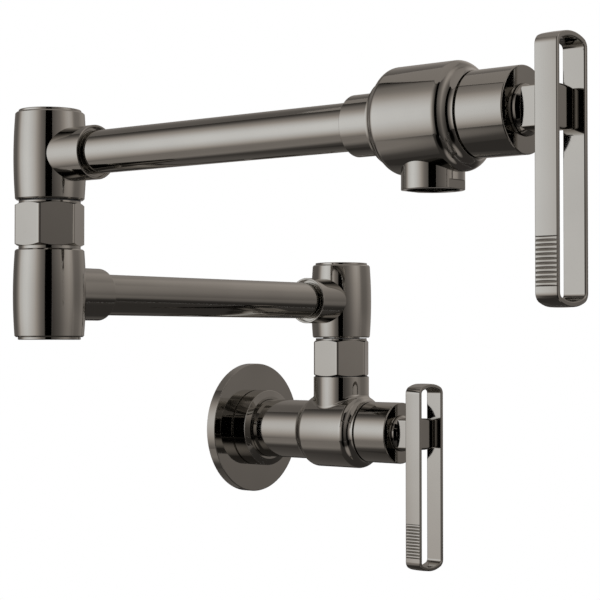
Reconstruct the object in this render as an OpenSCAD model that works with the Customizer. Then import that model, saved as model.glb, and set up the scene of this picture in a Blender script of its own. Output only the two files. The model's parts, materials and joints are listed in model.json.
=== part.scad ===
// Wall mounted pot filler: a quarter-turn valve at the wall, two swivelling arms and a second
// quarter-turn valve over the outlet. Millimetres, +Z up, the wall is the plane y = 0 and the
// origin is the centre of the inlet's mouth on it. The arms are drawn in a half-open pose:
// the lower arm along -X, the upper arm along -Y.

/* [Wall mounting] */
// Diameter of the wall flange
flange_d = 72; // [60:0.5:90]
// Thickness of the wall flange
flange_t = 5.5; // [4.5:0.1:8]
// Diameter of the collar that locks the flange on the neck
flange_collar_d = 42.1; // [40:0.1:50]
// Length of that collar
flange_collar_len = 9.1; // [8.5:0.1:14]
// Diameter of the inlet neck
neck_d = 32; // [30:0.1:33]
// Diameter of the threaded inlet bore
inlet_d = 19; // [17:0.1:21]
// Depth of the threaded inlet bore
inlet_depth = 16; // [12:0.5:22]
// Distance from the wall to the shoulder axis
shoulder_out = 66.2; // [64:0.1:90]

/* [Valves] */
// Body diameter of the valve at the wall
wall_valve_d = 39.4; // [38.4:0.1:44]
// Body diameter of the valve over the outlet
spout_valve_d = 41.2; // [40:0.1:46]
// Distance from the port axis to each end of a valve body
valve_half = 19.8; // [19.2:0.1:24]
// Length of the S-curved shoulder at each end of a valve body
shoulder_run = 7; // [5:0.1:7.5]
// Diameter of a valve body where its S-curved shoulder ends
shoulder_end_d = 32.6; // [32:0.1:34]
// Diameter of the bonnet
bonnet_d = 32.4; // [32:0.1:36]
// Width of the dark joint between a valve body and its bonnet
bonnet_joint = 0.9; // [0.5:0.1:1.5]
// Length of the bonnet
bonnet_len = 19.9; // [19:0.1:26]
// Diameter of the bore that holds the cartridge
cartridge_bore_d = 25.2; // [24.6:0.1:25.6]
// Diameter of the stem
stem_d = 9; // [8:0.1:9.6]
// Diameter of the ceramic discs
disc_d = 19; // [18:0.1:19.6]
// Diameter of the water way behind a cartridge
water_way_d = 14; // [10:0.5:15]

/* [Levers] */
// Width of a lever across its two strips
lever_w = 21.5; // [20:0.1:24]
// Thickness of a lever's strip
lever_t = 2.1; // [1.7:0.1:2.6]
// Width of a lever's strip along the valve axis
strip_w = 9.3; // [8:0.1:11]
// Height of a lever above the valve axis
lever_rise = 26.5; // [22:0.5:32]
// Drop of a lever below the valve axis
lever_drop = 71.3; // [68:0.5:90]
// Corner radius of a lever
lever_corner_r = 4; // [3:0.1:5]
// Radius of a lever's arched ends
lever_end_r = 22; // [18:0.5:40]
// Number of grip grooves on each side
groove_count = 11; // [5:1:12]
// Spacing of the grip grooves
groove_pitch = 1.69; // [1.4:0.01:1.8]
// Radius of a grip groove
groove_r = 0.62; // [0.45:0.01:0.68]
// Distance from the lever's low end to the lowest groove
groove_start = 7.1; // [6.5:0.1:9]
// Height of the hub block between the strips
hub_h = 16.5; // [15.5:0.1:18]
// Length of the hub block along the valve axis
hub_len = 12.2; // [11.6:0.1:14]
// Diameter of the round collar behind the hub block
hub_collar_d = 19.4; // [18.6:0.1:22]

/* [Columns] */
// Diameter of the riser on the wall valve
riser_d = 30.1; // [29:0.1:31]
// Height of the riser's top above the wall valve axis
riser_top = 29.5; // [28:0.1:36]
// Width of the hex nuts across their flats
hex_af = 28; // [27.5:0.1:30]
// Height of the hex nuts
hex_h = 19.4; // [15:0.1:23]
// Height of the dark neck between a hex nut and a barrel
neck_gap = 1.45; // [1.3:0.05:2.5]
// Diameter of that neck
column_neck_d = 27.8; // [27:0.1:28.4]
// Height of a barrel
barrel_h = 39.4; // [37:0.1:44]
// Diameter of a barrel at its ends
barrel_end_d = 31.1; // [30.2:0.1:33]
// Diameter of a barrel at mid height
barrel_mid_d = 32.6; // [31.8:0.1:35]
// Diameter of the caps
cap_d = 28.1; // [26:0.1:28.8]
// Height of the caps' rims over the barrels
cap_rise = 1.2; // [0.8:0.1:2]
// Diameter of the spindle that a barrel turns on
journal_d = 20; // [19.2:0.1:20.4]
// Diameter of the spindle's threaded foot
foot_d = 21; // [20.6:0.1:21.4]
// Diameter of the water bore in a spindle
spindle_bore_d = 11.2; // [9:0.1:11.6]

/* [Arms] */
// Outer diameter of the arm tubes
tube_d = 19.05; // [18:0.05:20]
// Wall of the arm tubes
tube_wall = 1.25; // [0.9:0.05:2]
// Outer diameter of the collars on the tubes
collar_d = 24.1; // [23:0.1:26]
// Distance from a column's axis to its collar's end
collar_reach = 30.2; // [27:0.1:36]
// Length of the collar at the spout valve
spout_collar_len = 15.8; // [12:0.1:20]
// Distance from the shoulder axis to the elbow axis
lower_reach = 213.2; // [190:1:300]
// Distance from the elbow axis to the outlet axis
spout_reach = 210.4; // [190:1:300]

/* [Outlet] */
// Outer diameter of the outlet
outlet_d = 24; // [23.6:0.1:26]
// Depth of the outlet's mouth below the spout valve axis
outlet_drop = 26.8; // [26.5:0.1:34]
// Diameter of the outlet's mouth
mouth_d = 20.2; // [19.4:0.1:20.8]
// Depth of the open hollow below the aerator
mouth_depth = 4.4; // [4.2:0.1:5]
// Width across the outlet's two wrench flats
outlet_af = 22.5; // [22:0.1:23.4]
// Height of the full round rim below the wrench flats
outlet_rim = 3.2; // [2:0.1:4]

/* [Hidden] */

// Facets of a round shape in the preview, of a small ring's section and of a grip groove
$fn = 96;
ring_facets = 32;
groove_facets = 24;
hex_edge_facets = 24;
// Segments of a computed arc
arc_steps = 8;
// Radial clearance of a piece that sits in or on another
fit = 0.05;
// Gap between flat faces that turn past each other
face_gap = 0.3;
// Overrun of a cut past the surface that it opens
overrun = 1;
// Small rounding of turned edges
edge_r = 0.4;
// Small bevel of turned edges
bevel = 0.6;

// Wall flange: depth and rim of the hollow back, boss round the neck
flange_back_depth = 3;
flange_rim = 1.7;
flange_boss = 2.2;
neck_clearance = 0.15;
flange_bore_r = neck_d / 2 + neck_clearance;
// Flange collar: the undercut that draws the dark seam, the dished front and the ring groove
seam_w = 0.6;
seam_depth = 0.55;
collar_dish = 0.9;
collar_front_flat = 3.6;
flange_oring_t = 1.7;
flange_screw_d = 3;
flange_collar_end = flange_t + flange_collar_len;

// Valve body: seat, port, spigot for the bonnet and the counterbore for the outlet
seat_depth = 9;
port_d = 11;
spigot_d = 28.4;
spigot_len = 6.2;
valve_front = valve_half + spigot_len;
bonnet_back = valve_half + bonnet_joint;
bonnet_front = bonnet_back + bonnet_len;
cavity_r = cartridge_bore_d / 2;

// Cartridge
housing_r = cavity_r - fit;
housing_waist_depth = 1.5;
housing_waist_half = 5.5;
housing_proud = 0.2;
housing_front = valve_front + housing_proud;
nose_d = 19;
nose_len = 6.6;
nose_front = housing_front + nose_len;
disc_chamber_r = disc_d / 2 + fit;
seal_t = 1.7;
seal_wall = 2.1;
fixed_disc_t = 2.6;
moving_disc_t = 2.7;
disc_gap = 0.05;
seal_back = fit - seat_depth;
fixed_back = seal_back + seal_t + fit;
moving_back = fixed_back + fixed_disc_t + disc_gap;
drive_back = moving_back + moving_disc_t + disc_gap;
drive_d = 14;
drive_t = 4.2;
chamber_front = drive_back + drive_t + face_gap;
window_d = 6;
disc_window_share = 0.78;
disc_hub_share = 0.22;
stem_r = stem_d / 2;
stem_groove_depth = 1.1;
stem_ring_t = 1;
stem_ring_setback = 3.2;
stem_ring_pitch = 4;
stem_ring_places = [for (i = [0 : 1]) chamber_front + stem_ring_setback + i * stem_ring_pitch];
stem_clip_t = 0.9;
stem_clip_d = 13.2;
housing_ring_t = 1.5;
housing_ring_place = 15;

// Bonnet: front wall, step that clamps the cartridge and the hole for the hub
bonnet_wall = 2.7;
bonnet_step_t = 2.6;
bonnet_hole_r = 7.8;

// Lever hub
hub_neck_r = bonnet_hole_r - face_gap;
hub_collar_t = 1.7;
hub_waist_d = 16.4;
hub_waist_t = 1.1;
hub_collar_back = bonnet_front + face_gap;
hub_back = hub_collar_back + hub_collar_t + hub_waist_t;
hub_front = hub_back + hub_len;
hub_neck_len = 4.4;
hub_w = lever_w - 2 * lever_t - 2 * fit;
hub_crown_r = 38;
hub_edge_r = 2.3;
hub_back_bevel = 1;
hub_cover = 4.8;
stem_front = hub_front - hub_cover;
lever_proud = 4.05;
loop_front = hub_front + lever_proud;
loop_back = loop_front - strip_w;
lever_screw_d = 4;
hex_socket_share = 0.55;
groove_depth = 0.36;

// Columns, from the wall valve axis up
washer_t = 0.3;
riser_washer_d = 28.8;
washer_top = riser_top + washer_t;
hex_top = washer_top + hex_h;
barrel_bottom = hex_top + neck_gap;
lower_z = barrel_bottom + barrel_h / 2;
level_step = barrel_h + 2 * neck_gap + hex_h;
upper_z = lower_z + level_step;
hex_corner_r = hex_af / sqrt(3);
hex_land = 0.1;
hex_face_r = hex_af / 2 + hex_land;
hex_bevel_h = 1.2;
hex_edge_r = 1.85;
foot_r = foot_d / 2;
foot_depth = 12.5;
socket_depth = 13.5;
thrust_washer_t = 0.5;
neck_disc_t = neck_gap - thrust_washer_t - face_gap;
journal_r = journal_d / 2;
run_fit = 0.05;
spindle_waist_depth = 2.4;
spindle_hole_d = 5.2;
spindle_ring_t = 1.48;
spindle_ring_groove = 1.5;
spindle_groove_w = 2.2;
cap_pocket_depth = 5.4;
cap_pocket_d = 24.6;
cap_spigot_len = 2.5;
ring_w = 1;
ring_d = 23.6;
ring_groove_depth = 1.1;
spindle_top_margin = 0.9;
barrel_bulge = (barrel_mid_d - barrel_end_d) / 2;
barrel_half = barrel_h / 2;
spindle_ring_margin = 3.5;
spindle_ring_offset = barrel_half - cap_pocket_depth - spindle_ring_margin;
spindle_waist_margin = 4;
spindle_waist_half = spindle_ring_offset - spindle_waist_margin;
bow_half = barrel_half - bevel;
bow_r = (bow_half * bow_half + barrel_bulge * barrel_bulge) / (2 * barrel_bulge);

// Arms
tube_r = tube_d / 2;
tube_bore_r = tube_r - tube_wall;
tube_seat = 12.7;
barrel_port_d = 13;
collar_lip = 1;
collar_recess = 2.2;
spout_tube_seat = 12.2;

// Outlet
outlet_spigot_r = 11.15;
outlet_pocket_r = outlet_spigot_r + fit;
outlet_floor = 14.4;
aerator_washer_t = 1.2;
aerator_bore_d = 15;
aerator_shelf = 1.2;
aerator_hole_d = 2.2;
aerator_hole_pitch = 3.1;
aerator_rings = 2;

// Finishes as they look on the object
finish = [0.36, 0.34, 0.32];
inner_brass = [0.78, 0.64, 0.36];
seal_rubber = [0.08, 0.08, 0.08];
ceramic = [0.9, 0.88, 0.84];
spring_steel = [0.6, 0.6, 0.6];
bearing_plastic = [0.92, 0.92, 0.88];

// Points of an arc about c from angle a to angle b
function arc(c, r, a, b, n = arc_steps) =
    [for (i = [0 : n]) let (t = a + (b - a) * i / n) c + r * [cos(t), sin(t)]];

// S-curve of a turned shoulder from radius r0 at t0 to a smaller r1, run along dir (1 or -1)
function s_curve(r0, r1, t0, run, dir) =
    let (
        turn = 2 * atan((r0 - r1) / run),
        rho = run / (2 * sin(turn)),
        n = arc_steps
    )
    concat(
        [for (i = [0 : n]) let (a = turn * i / n)
            [r0 - rho * (1 - cos(a)), t0 + dir * rho * sin(a)]],
        [for (i = [n - 1 : -1 : 0]) let (a = turn * i / n)
            [r1 + rho * (1 - cos(a)), t0 + dir * (run - rho * sin(a))]]
    );

// Turned outline of a barrel about its middle, grown by g
function barrel_outline(g) = concat(
    [[0, -barrel_half - g], [barrel_end_d / 2 - bevel + g, -barrel_half - g]],
    [for (i = [-arc_steps : arc_steps]) let (z = bow_half * i / arc_steps)
        [barrel_mid_d / 2 - bow_r + sqrt(bow_r * bow_r - z * z) + g, z]],
    [[barrel_end_d / 2 - bevel + g, barrel_half + g], [0, barrel_half + g]]
);

// Corner centre of a lever's end whose crest is at height top
function lever_corner(top) =
    let (x = lever_w / 2 - lever_corner_r)
    [x, top - lever_end_r + sqrt(pow(lever_end_r - lever_corner_r, 2) - x * x)];

// Right half of a lever's upper end, inset by d, from its side to its crest
function lever_end(top, d) =
    let (
        c = lever_corner(top),
        e = [0, top - lever_end_r],
        turn = atan2(c[1] - e[1], c[0])
    )
    concat(arc(c, lever_corner_r - d, 0, turn), arc(e, lever_end_r - d, turn, 90));

// Closed outline of a lever, inset by d
function lever_outline(d) =
    let (
        up = lever_end(lever_rise, d),
        down = lever_end(lever_drop, d),
        n = len(up)
    )
    concat(
        up,
        [for (i = [n - 2 : -1 : 0]) [-up[i][0], up[i][1]]],
        [for (i = [0 : n - 1]) [-down[i][0], -down[i][1]]],
        [for (i = [n - 2 : -1 : 0]) [down[i][0], -down[i][1]]]
    );

// Places a valve's own frame, port axis at its origin and front along +Z, at the wall
module at_wall_valve() {
    translate([0, -shoulder_out, 0]) rotate([90, 0, 0]) children();
}

// Places a valve's own frame over the outlet
module at_spout_valve() {
    translate([-lower_reach, -shoulder_out - spout_reach, upper_z]) rotate([90, 0, 0]) children();
}

// Shoulder column, heights from the wall valve axis
module at_shoulder() {
    translate([0, -shoulder_out, 0]) children();
}

// Elbow column, same heights
module at_elbow() {
    translate([-lower_reach, -shoulder_out, 0]) children();
}

// A rod along Z between two heights
module rod(r, z0, z1) {
    translate([0, 0, z0]) cylinder(h = z1 - z0, r = r);
}

// A ring along Z between two heights
module ring(r, inner_r, z0, z1) {
    difference() {
        rod(r, z0, z1);
        rod(inner_r, z0 - overrun, z1 + overrun);
    }
}

// A rod across a valve, from y0 to y1
module cross_rod(r, y0, y1) {
    translate([0, y0, 0]) rotate([-90, 0, 0]) cylinder(h = y1 - y0, r = r);
}

// A round section ring about Z
module o_ring(inner_r, t, z) {
    translate([0, 0, z]) rotate_extrude() translate([inner_r + t / 2, 0]) circle(d = t, $fn = ring_facets);
}

// A turned solid from its outline of [radius, place along Z]
module turned(points) {
    rotate_extrude() polygon(points);
}

module wall_gasket() {
    color(seal_rubber) rotate([90, 0, 0])
        ring(flange_d / 2 - flange_rim - fit, flange_bore_r + flange_boss + fit, 0, flange_back_depth - fit);
}

module wall_flange() {
    color(finish) rotate([90, 0, 0]) difference() {
        turned([
            [0, 0],
            [flange_d / 2, 0],
            [flange_d / 2, flange_t - edge_r],
            [flange_d / 2 - edge_r, flange_t],
            [0, flange_t]
        ]);
        rod(flange_bore_r, -overrun, flange_t + overrun);
        ring(flange_d / 2 - flange_rim, flange_bore_r + flange_boss, -overrun, flange_back_depth);
    }
}

module flange_collar() {
    r = flange_collar_d / 2;
    groove_mid = flange_t + flange_collar_len / 2 - edge_r;
    color(finish) rotate([90, 0, 0]) difference() {
        turned([
            [0, flange_t + fit],
            [r - seam_depth, flange_t + fit],
            [r - seam_depth, flange_t + seam_w],
            [r, flange_t + seam_w],
            [r, flange_collar_end - edge_r],
            [r - edge_r, flange_collar_end],
            [r - collar_front_flat, flange_collar_end + collar_dish],
            [0, flange_collar_end + collar_dish]
        ]);
        rod(flange_bore_r, flange_t - overrun, flange_collar_end + collar_dish + overrun);
        rod(neck_d / 2 + flange_oring_t, groove_mid - flange_oring_t, groove_mid);
        translate([0, 0, flange_collar_end - flange_screw_d / 2 - edge_r])
            cross_rod(flange_screw_d / 2 + fit, -r - overrun, 0);
    }
}

module flange_oring() {
    groove_mid = flange_t + flange_collar_len / 2 - edge_r;
    color(seal_rubber) rotate([90, 0, 0])
        o_ring(neck_d / 2 + fit / 2, flange_oring_t - fit, groove_mid - flange_oring_t / 2);
}

// A grub screw across a frame, its socket at y0
module grub_screw(d, y0, y1) {
    difference() {
        cross_rod(d / 2, y0, y1);
        translate([0, y0 - overrun, 0]) rotate([-90, 0, 0])
            cylinder(h = overrun + (y1 - y0) / 2, d = d * hex_socket_share, $fn = 6);
    }
}

module flange_set_screw() {
    color(spring_steel) rotate([90, 0, 0])
        translate([0, 0, flange_collar_end - flange_screw_d / 2 - edge_r])
            grub_screw(flange_screw_d, -flange_collar_d / 2 + edge_r, -neck_d / 2 - fit);
}

// Outline of a valve body's barrel between its two S-curved shoulders, with the bonnet's spigot
function valve_outline(d, rear_d, rear_t) = concat(
    [[0, rear_t], [rear_d / 2, rear_t]],
    [for (i = [2 * arc_steps : -1 : 0])
        s_curve(d / 2, rear_d / 2, -valve_half + shoulder_run, shoulder_run, -1)[i]],
    s_curve(d / 2, shoulder_end_d / 2, valve_half - shoulder_run, shoulder_run, 1),
    [[spigot_d / 2, valve_half], [spigot_d / 2, valve_front], [0, valve_front]]
);

// The bores that both valve bodies share, cut from the rear at rear_t
module valve_bores(rear_t) {
    rod(cavity_r, -seat_depth, valve_front + overrun);
    rod(water_way_d / 2, rear_t, -seat_depth + overrun);
}

module inlet_body() {
    socket_floor = riser_top - socket_depth;
    color(finish) at_wall_valve() difference() {
        union() {
            turned(valve_outline(wall_valve_d, neck_d, -shoulder_out));
            cross_rod(riser_d / 2, 0, riser_top - edge_r);
            cross_rod(riser_d / 2 - edge_r, 0, riser_top);
        }
        valve_bores(-shoulder_out + inlet_depth - overrun);
        rod(inlet_d / 2, -shoulder_out - overrun, -shoulder_out + inlet_depth);
        cross_rod(port_d / 2, 0, socket_floor + overrun);
        cross_rod(foot_r + fit, socket_floor, riser_top + overrun);
    }
}

// Brass housing of a quarter-turn cartridge
module cartridge_housing() {
    color(inner_brass) difference() {
        turned([
            [0, fit - seat_depth],
            [housing_r, fit - seat_depth],
            [housing_r, -housing_waist_half],
            [housing_r - housing_waist_depth, -housing_waist_half],
            [housing_r - housing_waist_depth, housing_waist_half],
            [housing_r, housing_waist_half],
            [housing_r, housing_ring_place - housing_ring_t / 2],
            [housing_r - housing_ring_t, housing_ring_place - housing_ring_t / 2],
            [housing_r - housing_ring_t, housing_ring_place + housing_ring_t / 2],
            [housing_r, housing_ring_place + housing_ring_t / 2],
            [housing_r, housing_front],
            [nose_d / 2, housing_front],
            [nose_d / 2, nose_front],
            [0, nose_front]
        ]);
        rod(disc_chamber_r, -seat_depth - overrun, chamber_front);
        rod(stem_r + run_fit, 0, nose_front + overrun);
        for (turn = [0, 90]) rotate([0, 0, turn]) translate([0, 0, chamber_front - window_d / 2 - face_gap])
            cross_rod(window_d / 2, -housing_r - overrun, housing_r + overrun);
    }
}

module cartridge_oring() {
    color(seal_rubber)
        o_ring(housing_r - housing_ring_t + fit / 2, housing_ring_t - fit, housing_ring_place);
}

module seat_seal() {
    color(seal_rubber)
        ring(disc_chamber_r - fit, disc_chamber_r - fit - seal_wall, seal_back, seal_back + seal_t);
}

// A ceramic disc with two opposite windows
module ceramic_disc(r, z0, t) {
    color(ceramic) difference() {
        rod(r, z0, z0 + t);
        for (side = [0, 180]) rotate([0, 0, side]) intersection() {
            ring(r * disc_window_share, r * disc_hub_share, z0 - overrun, z0 + t + overrun);
            translate([0, 0, z0 - overrun]) linear_extrude(t + 2 * overrun)
                polygon([[0, 0], [r, -r], [r, r]]);
        }
    }
}

module fixed_disc() {
    ceramic_disc(disc_chamber_r - fit, fixed_back, fixed_disc_t);
}

module moving_disc() {
    rotate([0, 0, 90]) ceramic_disc(disc_chamber_r - face_gap, moving_back, moving_disc_t);
}

module stem() {
    groove_floor_r = stem_r - stem_groove_depth;
    clip_back = nose_front + face_gap;
    color(inner_brass) difference() {
        union() {
            rod(drive_d / 2, drive_back, drive_back + drive_t);
            rod(stem_r, drive_back + drive_t, stem_front);
        }
        for (z = stem_ring_places)
            ring(stem_r + overrun, groove_floor_r, z - stem_ring_t, z + stem_ring_t);
        ring(stem_r + overrun, groove_floor_r, clip_back, clip_back + stem_clip_t + fit);
    }
}

module stem_orings() {
    color(seal_rubber) for (z = stem_ring_places)
        o_ring(stem_r - stem_groove_depth + fit / 2, stem_groove_depth, z);
}

module stem_clip() {
    z0 = nose_front + face_gap + fit / 2;
    color(spring_steel) difference() {
        ring(stem_clip_d / 2, stem_r - stem_groove_depth + fit, z0, z0 + stem_clip_t);
        translate([-stem_r * hex_socket_share, 0, z0 - overrun])
            cube([2 * stem_r * hex_socket_share, stem_clip_d, stem_clip_t + 2 * overrun]);
    }
}

module bonnet() {
    step_back = housing_front + fit;
    r = bonnet_d / 2;
    color(finish) difference() {
        turned([
            [0, bonnet_back],
            [r - edge_r, bonnet_back],
            [r, bonnet_back + edge_r],
            [r, bonnet_front - edge_r],
            [r - edge_r, bonnet_front],
            [0, bonnet_front]
        ]);
        rod(spigot_d / 2 + fit, bonnet_back - overrun, step_back);
        rod(nose_d / 2 + fit, step_back - overrun, step_back + bonnet_step_t);
        rod(spigot_d / 2 - bevel, step_back + bonnet_step_t, bonnet_front - bonnet_wall);
        rod(bonnet_hole_r, 0, bonnet_front + overrun);
    }
}

// Side view of a block from z0 to z1 with round front corners, drawn as [across, along]
module round_front(w, z0, z1, r) {
    translate([-w / 2, z0]) square([w, z1 - z0 - r]);
    translate([-w / 2 + r, z0]) square([w - 2 * r, z1 - z0]);
    for (side = [-1, 1]) translate([side * (w / 2 - r), z1 - r]) circle(r = r);
}

module lever_hub() {
    corner = sqrt(hub_w * hub_w + hub_h * hub_h) / 2;
    color(finish) difference() {
        union() {
            rod(hub_neck_r, hub_collar_back - hub_neck_len, hub_collar_back + edge_r);
            turned([
                [0, hub_collar_back],
                [hub_collar_d / 2, hub_collar_back],
                [hub_collar_d / 2, hub_back - hub_waist_t - edge_r],
                [hub_collar_d / 2 - edge_r, hub_back - hub_waist_t],
                [hub_waist_d / 2, hub_back - hub_waist_t],
                [hub_waist_d / 2, hub_back + edge_r],
                [0, hub_back + edge_r]
            ]);
            intersection() {
                linear_extrude(hub_front) intersection() {
                    square([hub_w, hub_h], center = true);
                    for (side = [-1, 1])
                        translate([0, side * (hub_h / 2 - hub_crown_r)]) circle(r = hub_crown_r);
                }
                translate([0, hub_h, 0]) rotate([90, 0, 0]) linear_extrude(2 * hub_h)
                    round_front(hub_w, hub_back, hub_front, hub_edge_r);
                translate([-hub_w, 0, 0]) rotate([90, 0, 90]) linear_extrude(2 * hub_w)
                    round_front(hub_h, hub_back, hub_front, hub_edge_r / 2);
                turned([
                    [0, hub_back],
                    [hub_w / 2, hub_back],
                    [corner, hub_back + hub_back_bevel],
                    [corner, hub_front],
                    [0, hub_front]
                ]);
            }
        }
        rod(stem_r + fit, 0, stem_front + face_gap);
        translate([0, 0, lever_screw_place()]) cross_rod(lever_screw_d / 2 + fit, -hub_h, 0);
    }
}

// Place of the lever's set screw along the valve axis
function lever_screw_place() = hub_back + lever_screw_d;

module lever_set_screw() {
    color(spring_steel) translate([0, 0, lever_screw_place()])
        grub_screw(lever_screw_d, -hub_h / 2 + edge_r, -stem_r - fit);
}

module lever_loop() {
    color(finish) translate([0, 0, loop_back]) difference() {
        linear_extrude(strip_w) polygon(lever_outline(0));
        translate([0, 0, -overrun]) linear_extrude(strip_w + 2 * overrun) polygon(lever_outline(lever_t));
        for (side = [-1, 1], i = [0 : groove_count - 1])
            translate([
                side * (lever_w / 2 + groove_r - groove_depth),
                groove_start - lever_drop + i * groove_pitch,
                -overrun
            ])
                cylinder(h = strip_w + 2 * overrun, r = groove_r, $fn = groove_facets);
    }
}

module riser_washer() {
    color(bearing_plastic) at_shoulder()
        ring(riser_washer_d / 2, foot_r + fit, riser_top, washer_top);
}

// A hex nut between two heights, corners to the front and back
module hex_nut(z0, z1) {
    color(finish) difference() {
        intersection() {
            translate([0, 0, z0]) rotate([0, 0, 90]) linear_extrude(z1 - z0)
                offset(r = hex_edge_r, $fn = hex_edge_facets)
                    circle(r = hex_corner_r - hex_edge_r / cos(30), $fn = 6);
            turned([
                [0, z0],
                [hex_face_r, z0],
                [hex_corner_r + edge_r, z0 + hex_bevel_h],
                [hex_corner_r + edge_r, z1 - hex_bevel_h],
                [hex_face_r, z1],
                [0, z1]
            ]);
        }
        rod(foot_r + fit, z0 - overrun, z1 + overrun);
    }
}

// Hollow spindle with its foot in the piece below and its journal in the barrel above
module spindle(lift) {
    neck_z = hex_top + lift;
    port_z = lower_z + lift;
    barrel_top = port_z + barrel_half;
    top = barrel_top - cap_spigot_len - spindle_top_margin;
    foot_z = riser_top - foot_depth + lift;
    groove_z = barrel_top - cap_pocket_depth + face_gap;
    cut_r = journal_r + overrun;
    color(finish) difference() {
        union() {
            rod(foot_r, foot_z, neck_z + edge_r);
            rod(column_neck_d / 2, neck_z, neck_z + neck_disc_t);
            rod(journal_r, neck_z, top);
        }
        rod(spindle_bore_d / 2, foot_z - overrun, port_z + spindle_waist_half);
        translate([0, 0, port_z])
            ring(cut_r, journal_r - spindle_waist_depth, -spindle_waist_half, spindle_waist_half);
        for (turn = [0, 90]) rotate([0, 0, turn]) translate([0, 0, port_z])
            cross_rod(spindle_hole_d / 2, -cut_r, cut_r);
        for (side = [-1, 1]) translate([0, 0, port_z + side * spindle_ring_offset])
            ring(cut_r, journal_r - spindle_ring_groove, -spindle_groove_w / 2, spindle_groove_w / 2);
        ring(cut_r, journal_r - ring_groove_depth, groove_z, groove_z + ring_w + fit);
    }
}

module spindle_orings(lift) {
    inner_r = journal_r - spindle_ring_groove + fit / 2;
    color(seal_rubber) for (side = [-1, 1])
        o_ring(inner_r, spindle_ring_t, lower_z + lift + side * spindle_ring_offset);
}

module thrust_washer(lift) {
    z0 = hex_top + neck_disc_t + lift;
    color(bearing_plastic) ring(column_neck_d / 2 - fit, journal_r + fit, z0, z0 + thrust_washer_t);
}

module retaining_ring(lift) {
    z0 = lower_z + barrel_half - cap_pocket_depth + face_gap + fit / 2 + lift;
    color(spring_steel) difference() {
        ring(ring_d / 2, journal_r - ring_groove_depth + fit, z0, z0 + ring_w);
        translate([-journal_r / 4, 0, z0 - overrun]) cube([journal_r / 2, ring_d, ring_w + 2 * overrun]);
    }
}

// A bowed barrel centred at height z, its bore open at the foot and a cap pocket at the top.
// The tube's port faces along -X.
module barrel(bore_r) {
    color(finish) difference() {
        turned(barrel_outline(0));
        rod(bore_r, -barrel_half - overrun, barrel_half + overrun);
        rod(cap_pocket_d / 2, barrel_half - cap_pocket_depth, barrel_half + overrun);
        rotate([0, -90, 0]) rod(barrel_port_d / 2, 0, barrel_mid_d);
        rotate([0, -90, 0]) rod(tube_r + fit, tube_seat, barrel_mid_d);
    }
}

// Screwed cap on a barrel's top, about the barrel's middle
module barrel_cap() {
    color(finish) {
        turned([
            [0, barrel_half - cap_spigot_len],
            [cap_pocket_d / 2 - fit, barrel_half - cap_spigot_len],
            [cap_pocket_d / 2 - fit, barrel_half],
            [cap_d / 2, barrel_half],
            [cap_d / 2, barrel_half + cap_rise - edge_r],
            [cap_d / 2 - edge_r, barrel_half + cap_rise],
            [0, barrel_half + cap_rise]
        ]);
    }
}

// Collar that joins a tube to a barrel, along -X from the barrel's middle, end dished
module barrel_collar() {
    color(finish) difference() {
        rotate([0, -90, 0]) turned([
            [0, tube_seat - overrun],
            [collar_d / 2, tube_seat - overrun],
            [collar_d / 2, collar_reach - edge_r],
            [collar_d / 2 - edge_r, collar_reach],
            [collar_d / 2 - collar_lip, collar_reach],
            [collar_d / 2 - collar_lip, collar_reach - collar_recess],
            [0, collar_reach - collar_recess]
        ]);
        rotate([0, -90, 0]) rod(tube_r + fit, 0, collar_reach + overrun);
        turned(barrel_outline(fit));
    }
}

// A plain tube along -X
module tube(x0, x1) {
    color(finish) rotate([0, -90, 0]) ring(tube_r, tube_bore_r, x0, x1);
}

module lower_tube() {
    at_shoulder() translate([0, 0, lower_z]) tube(tube_seat + fit, lower_reach - tube_seat - fit);
}

module upper_tube() {
    at_elbow() translate([0, 0, upper_z]) rotate([0, 0, 90])
        tube(tube_seat + fit, spout_reach - spout_tube_seat - fit);
}

module spout_collar() {
    rear = spout_reach - valve_half;
    mouth = rear - spout_collar_len;
    color(finish) at_elbow() translate([0, 0, upper_z]) rotate([90, 0, 0]) difference() {
        turned([
            [0, mouth],
            [collar_d / 2 - edge_r, mouth],
            [collar_d / 2, mouth + edge_r],
            [collar_d / 2, rear - fit],
            [0, rear - fit]
        ]);
        rod(tube_r + fit, 0, rear + overrun);
        rod(collar_d / 2 - collar_lip, mouth - overrun, mouth + collar_recess);
    }
}

module spout_body() {
    color(finish) at_spout_valve() difference() {
        turned(valve_outline(spout_valve_d, shoulder_end_d, -valve_half));
        valve_bores(-spout_tube_seat - overrun);
        rod(tube_r + fit, -valve_half - overrun, -spout_tube_seat);
        cross_rod(port_d / 2, -outlet_floor - overrun, 0);
        cross_rod(outlet_pocket_r, -spout_valve_d, -outlet_floor);
    }
}

module outlet_housing() {
    top = -outlet_floor - fit;
    shelf = top - aerator_shelf;
    bottom = -outlet_drop;
    color(finish) at_spout_valve() difference() {
        union() {
            cross_rod(outlet_spigot_r, bottom + edge_r, top);
            difference() {
                union() {
                    cross_rod(outlet_d / 2, bottom + edge_r, top);
                    cross_rod(outlet_d / 2 - edge_r, bottom, top);
                }
                rod(spout_valve_d / 2 + fit, -outlet_d, outlet_d);
                for (side = [0, 180]) rotate([0, side, 0])
                    translate([-outlet_d / 2, bottom + outlet_rim, outlet_af / 2])
                        cube([outlet_d, outlet_drop, outlet_d]);
            }
        }
        cross_rod(aerator_bore_d / 2, bottom, top + overrun);
        cross_rod(mouth_d / 2, bottom - overrun, shelf);
    }
}

// Height of the aerator's outlet face below the spout valve axis
function aerator_face() = mouth_depth - outlet_drop;

// Height of the washer's lower face below the spout valve axis
function washer_face() = -outlet_floor - fit - aerator_shelf - fit - aerator_washer_t;

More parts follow.
